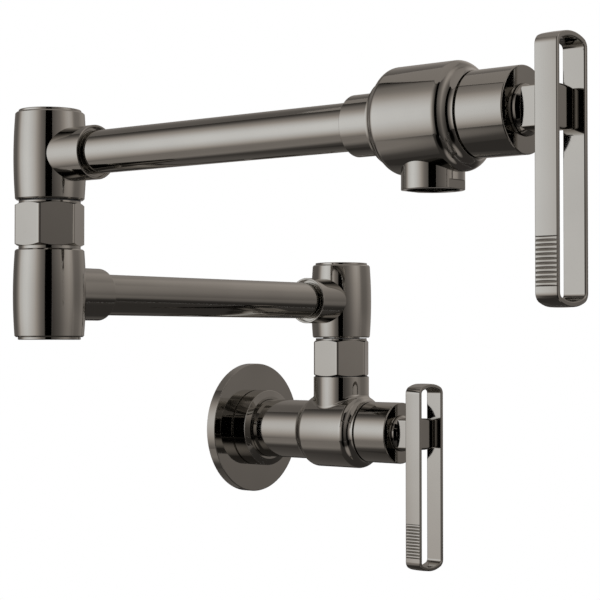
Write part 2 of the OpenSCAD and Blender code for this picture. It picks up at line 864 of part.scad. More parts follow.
module aerator_washer() {
    color(seal_rubber) at_spout_valve() difference() {
        cross_rod(mouth_d / 2 - fit, washer_face(), washer_face() + aerator_washer_t);
        cross_rod(aerator_bore_d / 2, washer_face() - overrun, 0);
    }
}

module aerator_insert() {
    low = aerator_face();
    color(bearing_plastic) at_spout_valve() difference() {
        cross_rod(mouth_d / 2 - fit, low, washer_face() - fit);
        for (k = [0 : aerator_rings], i = [0 : max(1, 6 * k) - 1])
            rotate([0, 60 * i / max(1, k), 0]) translate([k * aerator_hole_pitch, 0, 0])
                cross_rod(aerator_hole_d / 2, low - overrun, 0);
    }
}

wall_gasket();
wall_flange();
flange_collar();
flange_oring();
flange_set_screw();
inlet_body();
at_wall_valve() cartridge_housing();  // wall_cartridge_housing
at_wall_valve() cartridge_oring();  // wall_cartridge_oring
at_wall_valve() seat_seal();  // wall_seat_seal
at_wall_valve() fixed_disc();  // wall_fixed_disc
at_wall_valve() bonnet();  // wall_bonnet
at_wall_valve() moving_disc();  // wall_moving_disc
at_wall_valve() stem();  // wall_stem
at_wall_valve() stem_orings();  // wall_stem_orings
at_wall_valve() stem_clip();  // wall_stem_clip
at_wall_valve() lever_hub();  // wall_lever_hub
at_wall_valve() lever_set_screw();  // wall_lever_set_screw
at_wall_valve() lever_loop();  // wall_lever_loop
riser_washer();
at_shoulder() hex_nut(washer_top, hex_top);  // shoulder_hex_nut
at_shoulder() spindle(0);  // shoulder_spindle
at_shoulder() spindle_orings(0);  // shoulder_orings
at_shoulder() thrust_washer(0);  // shoulder_thrust_washer
at_shoulder() retaining_ring(0);  // shoulder_retaining_ring
at_shoulder() translate([0, 0, lower_z]) barrel(journal_r + run_fit);  // shoulder_barrel
at_shoulder() translate([0, 0, lower_z]) barrel_cap();  // shoulder_cap
at_shoulder() translate([0, 0, lower_z]) barrel_collar();  // shoulder_collar
lower_tube();
at_elbow() translate([0, 0, lower_z]) rotate([0, 0, 180]) barrel_collar();  // elbow_lower_collar
at_elbow() translate([0, 0, lower_z]) mirror([0, 0, 1]) rotate([0, 0, 180]) barrel(foot_r + fit);  // elbow_lower_barrel
at_elbow() translate([0, 0, lower_z]) mirror([0, 0, 1]) barrel_cap();  // elbow_bottom_cap
color(finish) at_elbow() translate([0, 0, hex_top + level_step - hex_h])  // elbow_spacer
        ring(column_neck_d / 2, foot_r + fit, -neck_gap, 0);
at_elbow() hex_nut(hex_top + level_step - hex_h, hex_top + level_step);  // elbow_hex_nut
at_elbow() spindle(level_step);  // elbow_spindle
at_elbow() spindle_orings(level_step);  // elbow_orings
at_elbow() thrust_washer(level_step);  // elbow_thrust_washer
at_elbow() retaining_ring(level_step);  // elbow_retaining_ring
at_elbow() translate([0, 0, upper_z]) rotate([0, 0, 90]) barrel(journal_r + run_fit);  // elbow_upper_barrel
at_elbow() translate([0, 0, upper_z]) barrel_cap();  // elbow_top_cap
at_elbow() translate([0, 0, upper_z]) rotate([0, 0, 90]) barrel_collar();  // elbow_upper_collar
upper_tube();
spout_collar();
spout_body();
at_spout_valve() cartridge_housing();  // spout_cartridge_housing
at_spout_valve() cartridge_oring();  // spout_cartridge_oring
at_spout_valve() seat_seal();  // spout_seat_seal
at_spout_valve() fixed_disc();  // spout_fixed_disc
at_spout_valve() bonnet();  // spout_bonnet
outlet_housing();
aerator_washer();
aerator_insert();
at_spout_valve() moving_disc();  // spout_moving_disc
at_spout_valve() stem();  // spout_stem
at_spout_valve() stem_orings();  // spout_stem_orings
at_spout_valve() stem_clip();  // spout_stem_clip
at_spout_valve() lever_hub();  // spout_lever_hub
at_spout_valve() lever_set_screw();  // spout_lever_set_screw
at_spout_valve() lever_loop();  // spout_lever_loop
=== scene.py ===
"""The looks of a wall mounted pot filler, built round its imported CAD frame.

Sizes are millimetres in the classes and metres in the meshes. The wall is the plane y = 0, +Z is up
and the origin is the centre of the inlet on the wall.
"""

from __future__ import annotations

import json
import logging
import math
from dataclasses import dataclass
from enum import Enum
from functools import cache
from typing import Any, Callable, NamedTuple, Sequence

import bmesh
import bpy
import numpy as np
from mathutils import Matrix, Vector

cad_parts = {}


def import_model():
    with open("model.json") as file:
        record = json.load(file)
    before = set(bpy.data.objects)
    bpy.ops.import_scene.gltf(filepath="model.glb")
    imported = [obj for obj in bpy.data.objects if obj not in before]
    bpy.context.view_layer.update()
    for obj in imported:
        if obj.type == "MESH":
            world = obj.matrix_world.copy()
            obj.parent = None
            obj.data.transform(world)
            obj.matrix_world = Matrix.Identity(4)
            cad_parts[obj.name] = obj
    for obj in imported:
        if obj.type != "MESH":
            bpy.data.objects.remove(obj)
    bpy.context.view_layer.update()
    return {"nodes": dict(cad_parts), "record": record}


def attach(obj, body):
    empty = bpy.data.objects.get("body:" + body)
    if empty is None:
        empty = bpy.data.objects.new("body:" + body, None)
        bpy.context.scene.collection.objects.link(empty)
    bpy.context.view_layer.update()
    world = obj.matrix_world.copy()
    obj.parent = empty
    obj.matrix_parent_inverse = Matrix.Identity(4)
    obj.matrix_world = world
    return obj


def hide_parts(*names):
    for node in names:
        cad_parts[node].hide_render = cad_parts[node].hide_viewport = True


LOG = logging.getLogger("pot_filler")
Mesh = bpy.types.Mesh
Pair = tuple[float, float]
Triple = tuple[float, float, float]
# Each row holds what a Corner takes.
Corners = Sequence[Sequence[float]]
MM = 0.001
FIT = 0.05  # Gap of a close fit.
EASE = 0.08  # Distance of a support ring from an edge.
EASE_SHARE = 0.2  # Most of a side that this distance may take.
ROUND_SHARE = 0.46  # Most of a side that a rounding may take.
STRAIGHT = math.radians(179)
RIB_WALL = 0.02  # Width of the steep wall at the end of a row of ribs.
LATHE_WELD = 0.0002
WELD = 0.0001
SLIVER = 0.00001
NIL = 1e-6
SHARP_ANGLE = math.radians(32)
USUAL = 160  # Steps round a turned piece.
FINE = 192  # Steps round a large one.
DRILL_STEPS = 40
UNIT: Triple = (1.0, 1.0, 1.0)
TURN = 2 * math.pi


# Node trees


def math_method(operation: str) -> Callable[..., Signal]:
    """A method that feeds a signal, and any other values after it, to a Math node."""
    return lambda signal, *others: signal.compute(operation, signal, *others)


class Signal:
    """A socket that carries a number through a node tree, used with Python's own operators."""

    def __init__(self, writer: TreeWriter, socket: bpy.types.NodeSocket) -> None:
        """Wraps one output socket of a writer's tree."""
        self.writer = writer
        self.socket = socket

    def compute(self, operation: str, *feeds: Feed) -> Signal:
        """Adds one Math node and gives its result."""
        return self.writer.add("ShaderNodeMath", dict(enumerate(feeds)), operation=operation)

    def __rsub__(self, other: Feed) -> Signal:
        """The other less this."""
        return self.compute("SUBTRACT", other, self)

    def root(self) -> Signal:
        """The square root of this, or of 0 where this is less."""
        return self.compute("SQRT", self.at_least(0.0))

    __add__ = __radd__ = math_method("ADD")
    __sub__ = math_method("SUBTRACT")
    __mul__ = __rmul__ = math_method("MULTIPLY")
    __truediv__ = math_method("DIVIDE")
    __abs__ = math_method("ABSOLUTE")
    __gt__ = math_method("GREATER_THAN")
    at_most = math_method("MINIMUM")
    at_least = math_method("MAXIMUM")
    whole = math_method("FLOOR")
    sign = math_method("SIGN")
    cos = math_method("COSINE")
    sin = math_method("SINE")


Feed = Signal | float


class TreeWriter:
    """Adds nodes to one node tree, whether of a material, a world or Geometry Nodes."""

    def __init__(self, tree: bpy.types.NodeTree) -> None:
        """Starts on a tree."""
        self.tree = tree

    @classmethod
    def afresh(cls, owner: bpy.types.Material | bpy.types.World) -> TreeWriter:
        """A writer for an owner's node tree, emptied.

        Args:
            owner: The material or world.

        Returns:
            The writer.
        """
        owner.use_nodes = True
        owner.node_tree.nodes.clear()
        return cls(owner.node_tree)

    def add(
        self, kind: str, feeds: dict[str | int, Any] | None = None, output: str | int = 0, **settings: Any
    ) -> Signal:
        """Adds one node.

        Args:
            kind: The node's type name.
            feeds: Values or signals for its inputs, by name or place.
            output: Name or place of the output that is wanted.
            **settings: The node's own settings, set first. stops gives a colour ramp's stops.

        Returns:
            The wanted output as a signal.
        """
        node = self.tree.nodes.new(kind)
        for name, value in settings.items():
            if name == "stops":
                self._set_stops(node.color_ramp, value)
            else:
                setattr(node, name, value)
        for key, value in (feeds or {}).items():
            if isinstance(value, Signal):
                self.tree.links.new(value.socket, node.inputs[key])
            else:
                node.inputs[key].default_value = value
        return Signal(self, node.outputs[output] if node.outputs else None)

    @staticmethod
    def _set_stops(ramp: bpy.types.ColorRamp, stops: Sequence[tuple[float, tuple]]) -> None:
        """Writes a colour ramp's stops.

        Args:
            ramp: The ramp.
            stops: A place and a colour for each.
        """
        while len(ramp.elements) < len(stops):
            ramp.elements.new(1.0)
        for element, (place, colour) in zip(ramp.elements, stops):
            element.position = place
            element.color = (*colour, 1.0)

    def ramp(self, place: Signal, stops: Sequence[tuple[float, tuple]]) -> Signal:
        """The colour of a ramp at a place from 0 to 1."""
        return self.add("ShaderNodeValToRGB", {"Fac": place}, "Color", stops=stops)

    def split(self, vector: Signal) -> tuple[Signal, ...]:
        """The three numbers of a vector signal."""
        node = self.add("ShaderNodeSeparateXYZ", {0: vector}).socket.node
        return tuple(Signal(self, out) for out in node.outputs)

    def join(self, x: Feed, y: Feed, z: Feed) -> Signal:
        """A vector signal of three numbers."""
        return self.add("ShaderNodeCombineXYZ", {0: x, 1: y, 2: z})


# Finishes


@dataclass(frozen=True)
class Finish:
    """A finish of one of the record's material slots: its colour clouds a little over a fine grain."""

    slot: str
    colour: Triple
    roughness: float
    metallic: float = 0.0
    cloud_scale: float = 120.0
    tone_change: float = 0.06
    grain_scale: float = 900.0
    grain_detail: float = 3.0
    grain_stretch: Triple = UNIT
    gloss_change: float = 0.12
    bump: float = 0.12
    bump_depth: float = 0.00004

    @cache
    def material(self) -> bpy.types.Material:
        """The finish's material, made once.

        Returns:
            The material with its node tree.
        """
        made = bpy.data.materials.new(self.slot + "_finish")
        writer = TreeWriter.afresh(made)
        place = writer.add("ShaderNodeTexCoord", output="Object")
        cloud = self.noise(place, self.cloud_scale)
        grain = self.noise(place, self.grain_scale, self.grain_detail, self.grain_stretch)
        relief = {"Strength": self.bump, "Distance": self.bump_depth, "Height": grain}
        surface = {
            "Base Color": self.toned(cloud),
            "Metallic": self.metallic,
            "Roughness": self.gloss(place, cloud, grain),
            "Normal": writer.add("ShaderNodeBump", relief),
        }
        writer.add("ShaderNodeOutputMaterial", {"Surface": writer.add("ShaderNodeBsdfPrincipled", surface)})
        return made

    @staticmethod
    def noise(place: Signal, scale: float, detail: float = 2.0, stretch: Triple = UNIT) -> Signal:
        """Noise from 0 to 1.

        Args:
            place: The point on the piece, in the frame's own metres.
            scale: Its scale per metre.
            detail: How many finer layers it has.
            stretch: How much closer it lies along each axis.

        Returns:
            The noise signal.
        """
        spot = place.writer.add("ShaderNodeMapping", {"Vector": place, "Scale": stretch})
        feeds = {"Vector": spot, "Scale": scale, "Detail": detail}
        return place.writer.add("ShaderNodeTexNoise", feeds, "Fac")

    def gloss(self, place: Signal, cloud: Signal, grain: Signal) -> Signal:
        """The roughness over the surface, by the place on the piece and the noises found there."""
        return self.roughness + self.gloss_change * (grain - 0.5)

    def toned(self, amount: Signal) -> Signal:
        """The finish's colour, a little darker or lighter by an amount from 0 to 1."""
        low, high = (tuple(c * (1 + way * self.tone_change) for c in self.colour) for way in (-1, 1))
        return amount.writer.ramp(amount, ((0.3, low), (0.7, high)))


@dataclass(frozen=True)
class PolishedPlate(Finish):
    """Polished dark nickel plate: a clear mirror with a trace of the polishing wheel."""

    metallic: float = 1.0
    cloud_scale: float = 45.0
    tone_change: float = 0.025
    grain_scale: float = 2200.0
    grain_detail: float = 2.0
    gloss_change: float = 0.03
    bump: float = 0.03
    bump_depth: float = 0.00002
    wheel_scale: float = 700.0
    wheel_stretch: Triple = (1.0, 1.0, 14.0)
    hair_scale: float = 1500.0
    hair_stretch: Triple = (1.0, 9.0, 1.0)
    hair_change: float = 0.02

    def gloss(self, place: Signal, cloud: Signal, grain: Signal) -> Signal:
        """The roughness over the surface.

        Args:
            place: The point on the piece.
            cloud: The slow noise there.
            grain: The fine noise there; not used, as this finish only feels it in its bump.

        Returns:
            The roughness signal.
        """
        wheel = self.noise(place, self.wheel_scale, 2.0, self.wheel_stretch)
        hairs = self.noise(place, self.hair_scale, 1.0, self.hair_stretch)
        marks = self.gloss_change * (cloud - 0.5) + self.gloss_change * (wheel - 0.5)
        return self.roughness + marks + self.hair_change * (hairs - 0.5)


@dataclass(frozen=True)
class MachinedMetal(Finish):
    """Bare metal off the lathe, with fine tool lines."""

    metallic: float = 1.0
    cloud_scale: float = 160.0
    tone_change: float = 0.05
    grain_scale: float = 3000.0
    grain_detail: float = 1.0
    grain_stretch: Triple = (0.3, 1.0, 1.0)
    bump: float = 0.1
    bump_depth: float = 0.00003


DARK_NICKEL = PolishedPlate("dark_nickel", (0.468, 0.457, 0.431), 0.06)
BEARING_PLASTIC = Finish("bearing_plastic", (0.045, 0.045, 0.047), 0.46)
FINISHES = (
    DARK_NICKEL,
    MachinedMetal("plain_brass", (0.72, 0.56, 0.30), 0.3),
    MachinedMetal("spring_steel", (0.36, 0.36, 0.37), 0.34),
    Finish("seal_rubber", (0.022, 0.022, 0.023), 0.62),
    Finish("ceramic_white", (0.86, 0.84, 0.80), 0.24),
    BEARING_PLASTIC,
)


# Places and outlines


class Axis(Enum):
    """The way a piece's own axis points in place: quarter turns, and the axis that they go about."""

    UP = (0, "X")
    ROOM = (1, "X")
    LEFT = (-1, "Y")
    RIGHT = (1, "Y")


@dataclass(frozen=True)
class Seat:
    """Where a piece's own frame sits, in millimetres, and the way its axis points."""

    x: float
    y: float
    z: float
    axis: Axis = Axis.UP

    def matrix(self) -> Matrix:
        """The seat as a matrix in metres."""
        quarters, about = self.axis.value
        place = Vector((self.x, self.y, self.z)) * MM
        return Matrix.Translation(place) @ Matrix.Rotation(quarters * TURN / 4, 4, about)


@dataclass(frozen=True)
class Ticket:
    """What a piece is called, the CAD node that it stands for, the body it moves with and its place."""

    name: str
    node: str
    body: str
    seat: Seat
    finish: Finish = DARK_NICKEL


class Corner(NamedTuple):
    """A corner of an outline: its radius, its place along the axis and its rounding.

    A point of a curve has no rounding and no support points towards its neighbours on the curve.
    """

    r: float
    t: float
    round: float = 0.0
    on_curve: bool = False


def curve(points: Sequence[Pair]) -> list[Corner]:
    """Corners for the points of a smooth curve."""
    return [Corner(r, t, 0.0, True) for r, t in points]


def ogee(r0: float, r1: float, t0: float, run: float, way: int) -> list[Pair]:
    """Points of a turned S-curve between two radii, along the axis.

    Args:
        r0: The larger radius, where the curve starts.
        r1: The smaller radius, where it ends.
        t0: Place along the axis where it starts.
        run: Its length along the axis.
        way: 1 to run forward, -1 to run backward.

    Returns:
        The points from the larger radius to the smaller.
    """
    steps = 22
    turn = 2 * math.atan((r0 - r1) / run)
    rho = run / (2 * math.sin(turn))
    angles = [turn * i / steps for i in range(steps + 1)]
    first = [(r0 - rho * (1 - math.cos(a)), t0 + way * rho * math.sin(a)) for a in angles]
    last = [(r1 + rho * (1 - math.cos(a)), t0 + way * (run - rho * math.sin(a))) for a in angles[::-1]]
    return first + last[1:]


def arc(middle: np.ndarray, start: np.ndarray, stop: np.ndarray, steps: int) -> list[np.ndarray]:
    """Points of an arc.

    Args:
        middle: Its centre.
        start: From the centre to its start.
        stop: From the centre to its end.
        steps: Number of steps.

    Returns:
        The points, both ends among them.
    """
    span = math.acos(float(start @ stop) / (np.linalg.norm(start) * np.linalg.norm(stop)))
    shares = np.linspace(0, 1, steps + 1)
    mixes = [math.sin(span * (1 - f)) * start + math.sin(span * f) * stop for f in shares]
    return [middle + mix / math.sin(span) for mix in mixes]


def rounded(
    here: np.ndarray, back: np.ndarray, ahead: np.ndarray, radius: float, steps: int
) -> list[np.ndarray]:
    """Points of one rounded corner, which stays a point where it is straight or has no room.

    Args:
        here: The corner.
        back: From the corner to the one before.
        ahead: From the corner to the one after.
        radius: Radius of the rounding, less where its sides are short.
        steps: Steps of the rounding.

    Returns:
        The points, as many in either case.
    """
    back_len, ahead_len = np.linalg.norm(back), np.linalg.norm(ahead)
    if min(back_len, ahead_len) < NIL:
        return [here] * (steps + 1)
    back, ahead = back / back_len, ahead / ahead_len
    inner = math.acos(max(-1.0, min(1.0, float(back @ ahead))))
    if inner > STRAIGHT:
        return [here] * (steps + 1)
    full_reach = radius / math.tan(inner / 2)
    reach = min(full_reach, ROUND_SHARE * min(back_len, ahead_len))
    between = (back + ahead) / np.linalg.norm(back + ahead)
    middle = here + between * radius * reach / full_reach / math.sin(inner / 2)
    return arc(middle, here + back * reach - middle, here + ahead * reach - middle, steps)


def outline(corners: Corners, closed: bool = False, steps: int = 6) -> np.ndarray:
    """Works an outline's corners out to points, rounded and with support points beside its edges.

    The number of points depends on the corners' kinds alone, not on their places, so outlines of
    one kind can be skinned together.

    Args:
        corners: The corners in order, each with what a Corner takes.
        closed: Whether the last corner joins the first.
        steps: Steps of each rounding.

    Returns:
        Points as rows of radius and place along the axis.
    """
    kinds = [Corner(*corner) for corner in corners]
    spots = [np.array((kind.r, kind.t), float) for kind in kinds]
    last = len(kinds) - 1
    pieces: list[list[np.ndarray]] = []
    for i, kind in enumerate(kinds):
        here, after = spots[i], spots[(i + 1) % len(spots)]
        if kind.round <= 0 or (not closed and i in (0, last)):
            pieces.append([here])
        else:
            pieces.append(rounded(here, spots[i - 1] - here, after - here, kind.round, steps))
    points: list[np.ndarray] = []
    for i, piece in enumerate(pieces):
        points.extend(piece)
        if i == last and not closed:
            break
        after = (i + 1) % len(pieces)
        if kinds[i].on_curve and kinds[after].on_curve:
            continue
        a, b = piece[-1], pieces[after][0]
        gap = np.linalg.norm(b - a)
        share = min(EASE / gap, EASE_SHARE) if gap > NIL else EASE_SHARE
        points.extend([a + (b - a) * share, b + (a - b) * share])
    return np.array(points + points[:1] if closed else points)


def soft_least(values: Sequence[float], blend: float) -> float:
    """The least of several numbers, with a soft change of a given width from one to the next."""
    low = min(values)
    return low - blend * math.log(sum(math.exp((low - value) / blend) for value in values))


# The workshop


def put_in(name: str, data: bpy.types.ID) -> bpy.types.Object:
    """Puts a mesh, camera or lamp into the scene.

    Args:
        name: The new object's name.
        data: What it holds.

    Returns:
        The object.
    """
    item = bpy.data.objects.new(name, data)
    bpy.context.scene.collection.objects.link(item)
    return item


class Workshop:
    """Makes meshes, puts them in place and hands them over as finished pieces."""

    def __init__(self) -> None:
        """Builds the shared Geometry Nodes trees."""
        self.lathe = self._lathe_tree()
        self.ribs = self._rib_tree()
        self.drill = self._drill_tree()

    # Geometry Nodes

    @staticmethod
    def _tree(name: str, sockets: dict[str, str]) -> tuple[TreeWriter, list[Signal]]:
        """A new Geometry Nodes tree with its named inputs, a finish and one geometry output.

        Args:
            name: The tree's name.
            sockets: Name and kind of each input.

        Returns:
            A writer for the tree, and its inputs with the finish last.
        """
        tree = bpy.data.node_groups.new(name, "GeometryNodeTree")
        for label, kind in {**sockets, "Finish": "Material"}.items():
            tree.interface.new_socket(label, in_out="INPUT", socket_type="NodeSocket" + kind)
        tree.interface.new_socket("Piece", in_out="OUTPUT", socket_type="NodeSocketGeometry")
        writer = TreeWriter(tree)
        given = tree.nodes.new("NodeGroupInput").outputs[: len(sockets) + 1]
        return writer, [Signal(writer, out) for out in given]

    @staticmethod
    def _end(writer: TreeWriter, geometry: Signal, finish: Signal) -> bpy.types.NodeTree:
        """Ends a tree in Realize Instances, smooth shading and Set Material.

        Args:
            writer: The tree's writer.
            geometry: What the tree has made.
            finish: Its material.

        Returns:
            The whole tree.
        """
        plain = writer.add("GeometryNodeRealizeInstances", {"Geometry": geometry})
        smooth = writer.add("GeometryNodeSetShadeSmooth", {"Geometry": plain})
        dressed = writer.add("GeometryNodeSetMaterial", {"Geometry": smooth, "Material": finish})
        writer.add("NodeGroupOutput", {0: dressed})
        return writer.tree

    def _lathe_tree(self) -> bpy.types.NodeTree:
        """Turns an outline about Z: every point of it becomes a ring of a welded grid.

        Returns:
            The tree.
        """
        inputs = {"Outline": "Geometry", "Segments": "Int", "Weld": "Float"}
        writer, (line, segments, weld, finish) = self._tree("turned_piece", inputs)
        count = writer.add(
            "GeometryNodeAttributeDomainSize", {"Geometry": line}, "Point Count", component="MESH"
        )
        across = segments + 1
        grid = writer.add("GeometryNodeMeshGrid", {"Vertices X": count, "Vertices Y": across}, "Mesh")
        index = writer.add("GeometryNodeInputIndex")
        ring = ((index + 0.5) / across).whole()
        angle = (index - ring * across) * TURN / segments
        whole_ring = writer.add("FunctionNodeFloatToInt", {0: ring}, rounding_mode="ROUND")
        spot = writer.add(
            "GeometryNodeSampleIndex",
            {"Geometry": line, "Value": writer.add("GeometryNodeInputPosition"), "Index": whole_ring},
            data_type="FLOAT_VECTOR",
            domain="POINT",
        )
        radius, _, along = writer.split(spot)
        place = writer.join(radius * angle.cos(), radius * angle.sin(), along)
        moved = writer.add("GeometryNodeSetPosition", {"Geometry": grid, "Position": place})
        welded = writer.add("GeometryNodeMergeByDistance", {"Geometry": moved, "Distance": weld})
        return self._end(writer, welded, finish)

    def _rib_tree(self) -> bpy.types.NodeTree:
        """Forms a row of round ribs on both sides of a lever, across its whole strip.

        Returns:
            The tree.
        """
        numbers = dict.fromkeys(("Half Width", "Start", "Pitch", "Count", "Radius"), "Float")
        writer, (lever, half, start, pitch, count, radius, finish) = self._tree(
            "grip_ribs", {"Lever": "Geometry", **numbers}
        )
        x, y, z = writer.split(writer.add("GeometryNodeInputPosition"))
        nearest = ((y - start) / pitch + 0.5).whole().at_least(0.0).at_most(count - 1)
        off = y - start - nearest * pitch
        inside = (pitch * 0.5 + RIB_WALL / 2 - abs(off)) > 0.0
        fall = (radius - (radius * radius - off * off).root()) * inside
        place = writer.join(x.sign() * abs(x).at_most(half - fall), y, z)
        ribbed = writer.add("GeometryNodeSetPosition", {"Geometry": lever, "Position": place})
        return self._end(writer, ribbed, finish)

    def _drill_tree(self) -> bpy.types.NodeTree:
        """Drills rings of holes through a plate: one at the middle, six round it, then twelve.

        Returns:
            The tree.
        """
        numbers = dict.fromkeys(("Hole Radius", "Ring Pitch", "Depth", "Middle"), "Float")
        writer, (plate, hole, pitch, depth, middle, finish) = self._tree(
            "drilled_plate", {"Plate": "Geometry", **numbers}
        )
        index = writer.add("GeometryNodeInputIndex")
        first, second = index > 0.5, index > 6.5
        ring = first + second
        angle = (index - first - second * 6) * (TURN / 6) / ring.at_least(1.0)
        place = writer.join(ring * pitch * angle.cos(), ring * pitch * angle.sin(), middle)
        spots = writer.add("GeometryNodePoints", {"Count": 1 + 6 + 12, "Position": place})
        bit = writer.add("GeometryNodeMeshCylinder", {"Vertices": 32, "Radius": hole, "Depth": depth}, "Mesh")
        bits = writer.add("GeometryNodeInstanceOnPoints", {"Points": spots, "Instance": bit})
        loose = writer.add("GeometryNodeRealizeInstances", {"Geometry": bits})
        pair = {"Mesh 1": plate, "Mesh 2": loose}
        drilled = writer.add("GeometryNodeMeshBoolean", pair, "Mesh", operation="DIFFERENCE")
        return self._end(writer, drilled, finish)

    def formed(self, tree: bpy.types.NodeTree, mesh: Mesh, values: dict[str, Any]) -> Mesh:
        """Runs a tree on a mesh and keeps the result as a plain mesh.

        Args:
            tree: The Geometry Nodes tree.
            mesh: The mesh that goes in, used up.
            values: The named inputs' values.

        Returns:
            The resulting mesh.
        """
        worker = put_in("worker", mesh)
        modifier = worker.modifiers.new("shape", "NODES")
        modifier.node_group = tree
        for item in tree.interface.items_tree:
            if item.in_out == "INPUT" and item.name in values:
                modifier[item.identifier] = values[item.name]
        return self.tidied(self.taken(worker))

    @staticmethod
    def taken(worker: bpy.types.Object) -> Mesh:
        """Takes the plain mesh that an object's modifiers give, and removes the object.

        Args:
            worker: The object, used up with its mesh.

        Returns:
            The resulting mesh.
        """
        bpy.context.view_layer.update()
        result = bpy.data.meshes.new_from_object(worker.evaluated_get(bpy.context.evaluated_depsgraph_get()))
        bpy.data.meshes.remove(worker.data)
        return result

    # Meshes

    def turned(
        self, corners: Corners, segments: int = USUAL, closed: bool = True
    ) -> Mesh:
        """A solid of revolution about Z, in millimetres.

        Args:
            corners: The corners of its outline.
            segments: Steps round the axis.
            closed: Whether the outline's last corner joins its first.

        Returns:
            The closed mesh.
        """
        points = outline(corners, closed)
        line = bpy.data.meshes.new("outline")
        line.from_pydata([(r, 0.0, t) for r, t in points], [(i, i + 1) for i in range(len(points) - 1)], [])
        return self.formed(self.lathe, line, {"Segments": segments, "Weld": LATHE_WELD})

    def lofted(
        self, angles: Sequence[float], row_at: Callable[[float], Sequence[Pair]]
    ) -> Mesh:
        """A closed mesh whose outline changes round the axis, in millimetres.

        Args:
            angles: Angles round the axis, in radians.
            row_at: Gives the outline at an angle, as rows of radius and place along the axis.

        Returns:
            The mesh.
        """
        rows = [(math.cos(angle), math.sin(angle), row_at(angle)) for angle in angles]
        return self.skinned(np.array([[(r * c, r * s, t) for r, t in row] for c, s, row in rows]))

    def skinned(self, rings: np.ndarray) -> Mesh:
        """A closed mesh over rings of points that run round, in millimetres.

        Args:
            rings: Array of steps round, points along and three numbers.

        Returns:
            The mesh, welded where points meet.
        """
        round_count, along = rings.shape[:2]
        faces = []
        for i in range(round_count):
            a, b = i * along, ((i + 1) % round_count) * along
            faces.extend((a + j, b + j, b + j + 1, a + j + 1) for j in range(along - 1))
        made = bpy.data.meshes.new("skin")
        made.from_pydata(rings.reshape(-1, 3).tolist(), [], faces)
        return self.tidied(made)

    @staticmethod
    def tidied(mesh: Mesh) -> Mesh:
        """Welds a mesh's doubles and points its faces outwards.

        Args:
            mesh: The mesh.

        Returns:
            The same mesh.
        """
        work = bmesh.new()
        work.from_mesh(mesh)
        bmesh.ops.remove_doubles(work, verts=work.verts, dist=WELD)
        bmesh.ops.dissolve_degenerate(work, edges=work.edges, dist=SLIVER)
        bmesh.ops.recalc_face_normals(work, faces=work.faces)
        work.to_mesh(mesh)
        work.free()
        return mesh

    @staticmethod
    def joined(*meshes: Mesh) -> Mesh:
        """Makes one mesh of several.

        Args:
            *meshes: The meshes, used up.

        Returns:
            The joined mesh.
        """
        work = bmesh.new()
        for mesh in meshes:
            work.from_mesh(mesh)
            bpy.data.meshes.remove(mesh)
        whole = bpy.data.meshes.new("joined")
        work.to_mesh(whole)
        work.free()
        return whole

    def bored(self, mesh: Mesh, screw_d: float, depth: float, low: float, along: float) -> Mesh:
        """Drills a set screw's hole up into a mesh from below.

        Args:
            mesh: The mesh, used up.
            screw_d: Diameter of the screw.
            depth: How far the drill goes up.
            low: Where the drill starts, below the mesh.
            along: Place of the hole along the mesh's own axis.

        Returns:
            The drilled mesh.
        """
        radius = screw_d / 2 + FIT
        drill = self.turned([(0, 0), (radius, 0), (radius, depth), (0, depth)], DRILL_STEPS, False)
        drill.transform(Matrix.Translation((0, low, along)) @ Matrix.Rotation(-TURN / 4, 4, "X"))
        body, cutter = put_in("body", mesh), put_in("cutter", drill)
        modifier = body.modifiers.new("cut", "BOOLEAN")
        modifier.operation = "DIFFERENCE"
        modifier.solver = "EXACT"
        modifier.object = cutter
        result = self.taken(body)
        bpy.data.meshes.remove(drill)
        return result

    # Handing over

    def piece(self, ticket: Ticket, mesh: Mesh) -> None:
        """Puts a mesh in place as a finished piece that stands for a CAD node.

        Args:
            ticket: What the piece is and where it sits.
            mesh: Its mesh, in millimetres about its own frame.
        """
        mesh.transform(ticket.seat.matrix() @ Matrix.Scale(MM, 4))
        mesh.name = ticket.name
        mesh.materials.clear()
        mesh.materials.append(ticket.finish.material())
        mesh.polygons.foreach_set("material_index", [0] * len(mesh.polygons))
        mesh.shade_smooth()
        mesh.set_sharp_from_angle(angle=SHARP_ANGLE)
        mesh.update()
        made = put_in(ticket.name, mesh)
        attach(made, ticket.body)
        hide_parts(ticket.node)
        LOG.info("%s: %d faces, stands for %s", ticket.name, len(mesh.polygons), ticket.node)

    def turned_piece(
        self, ticket: Ticket, corners: Corners, segments: int = USUAL, closed: bool = True
    ) -> None:
        """Turns a piece and hands it over; after the ticket come the arguments of turned."""
        self.piece(ticket, self.turned(corners, segments, closed))


@dataclass
class Assembly:
    """A sub-assembly, made in a workshop."""

    shop: Workshop


# Sub-assemblies


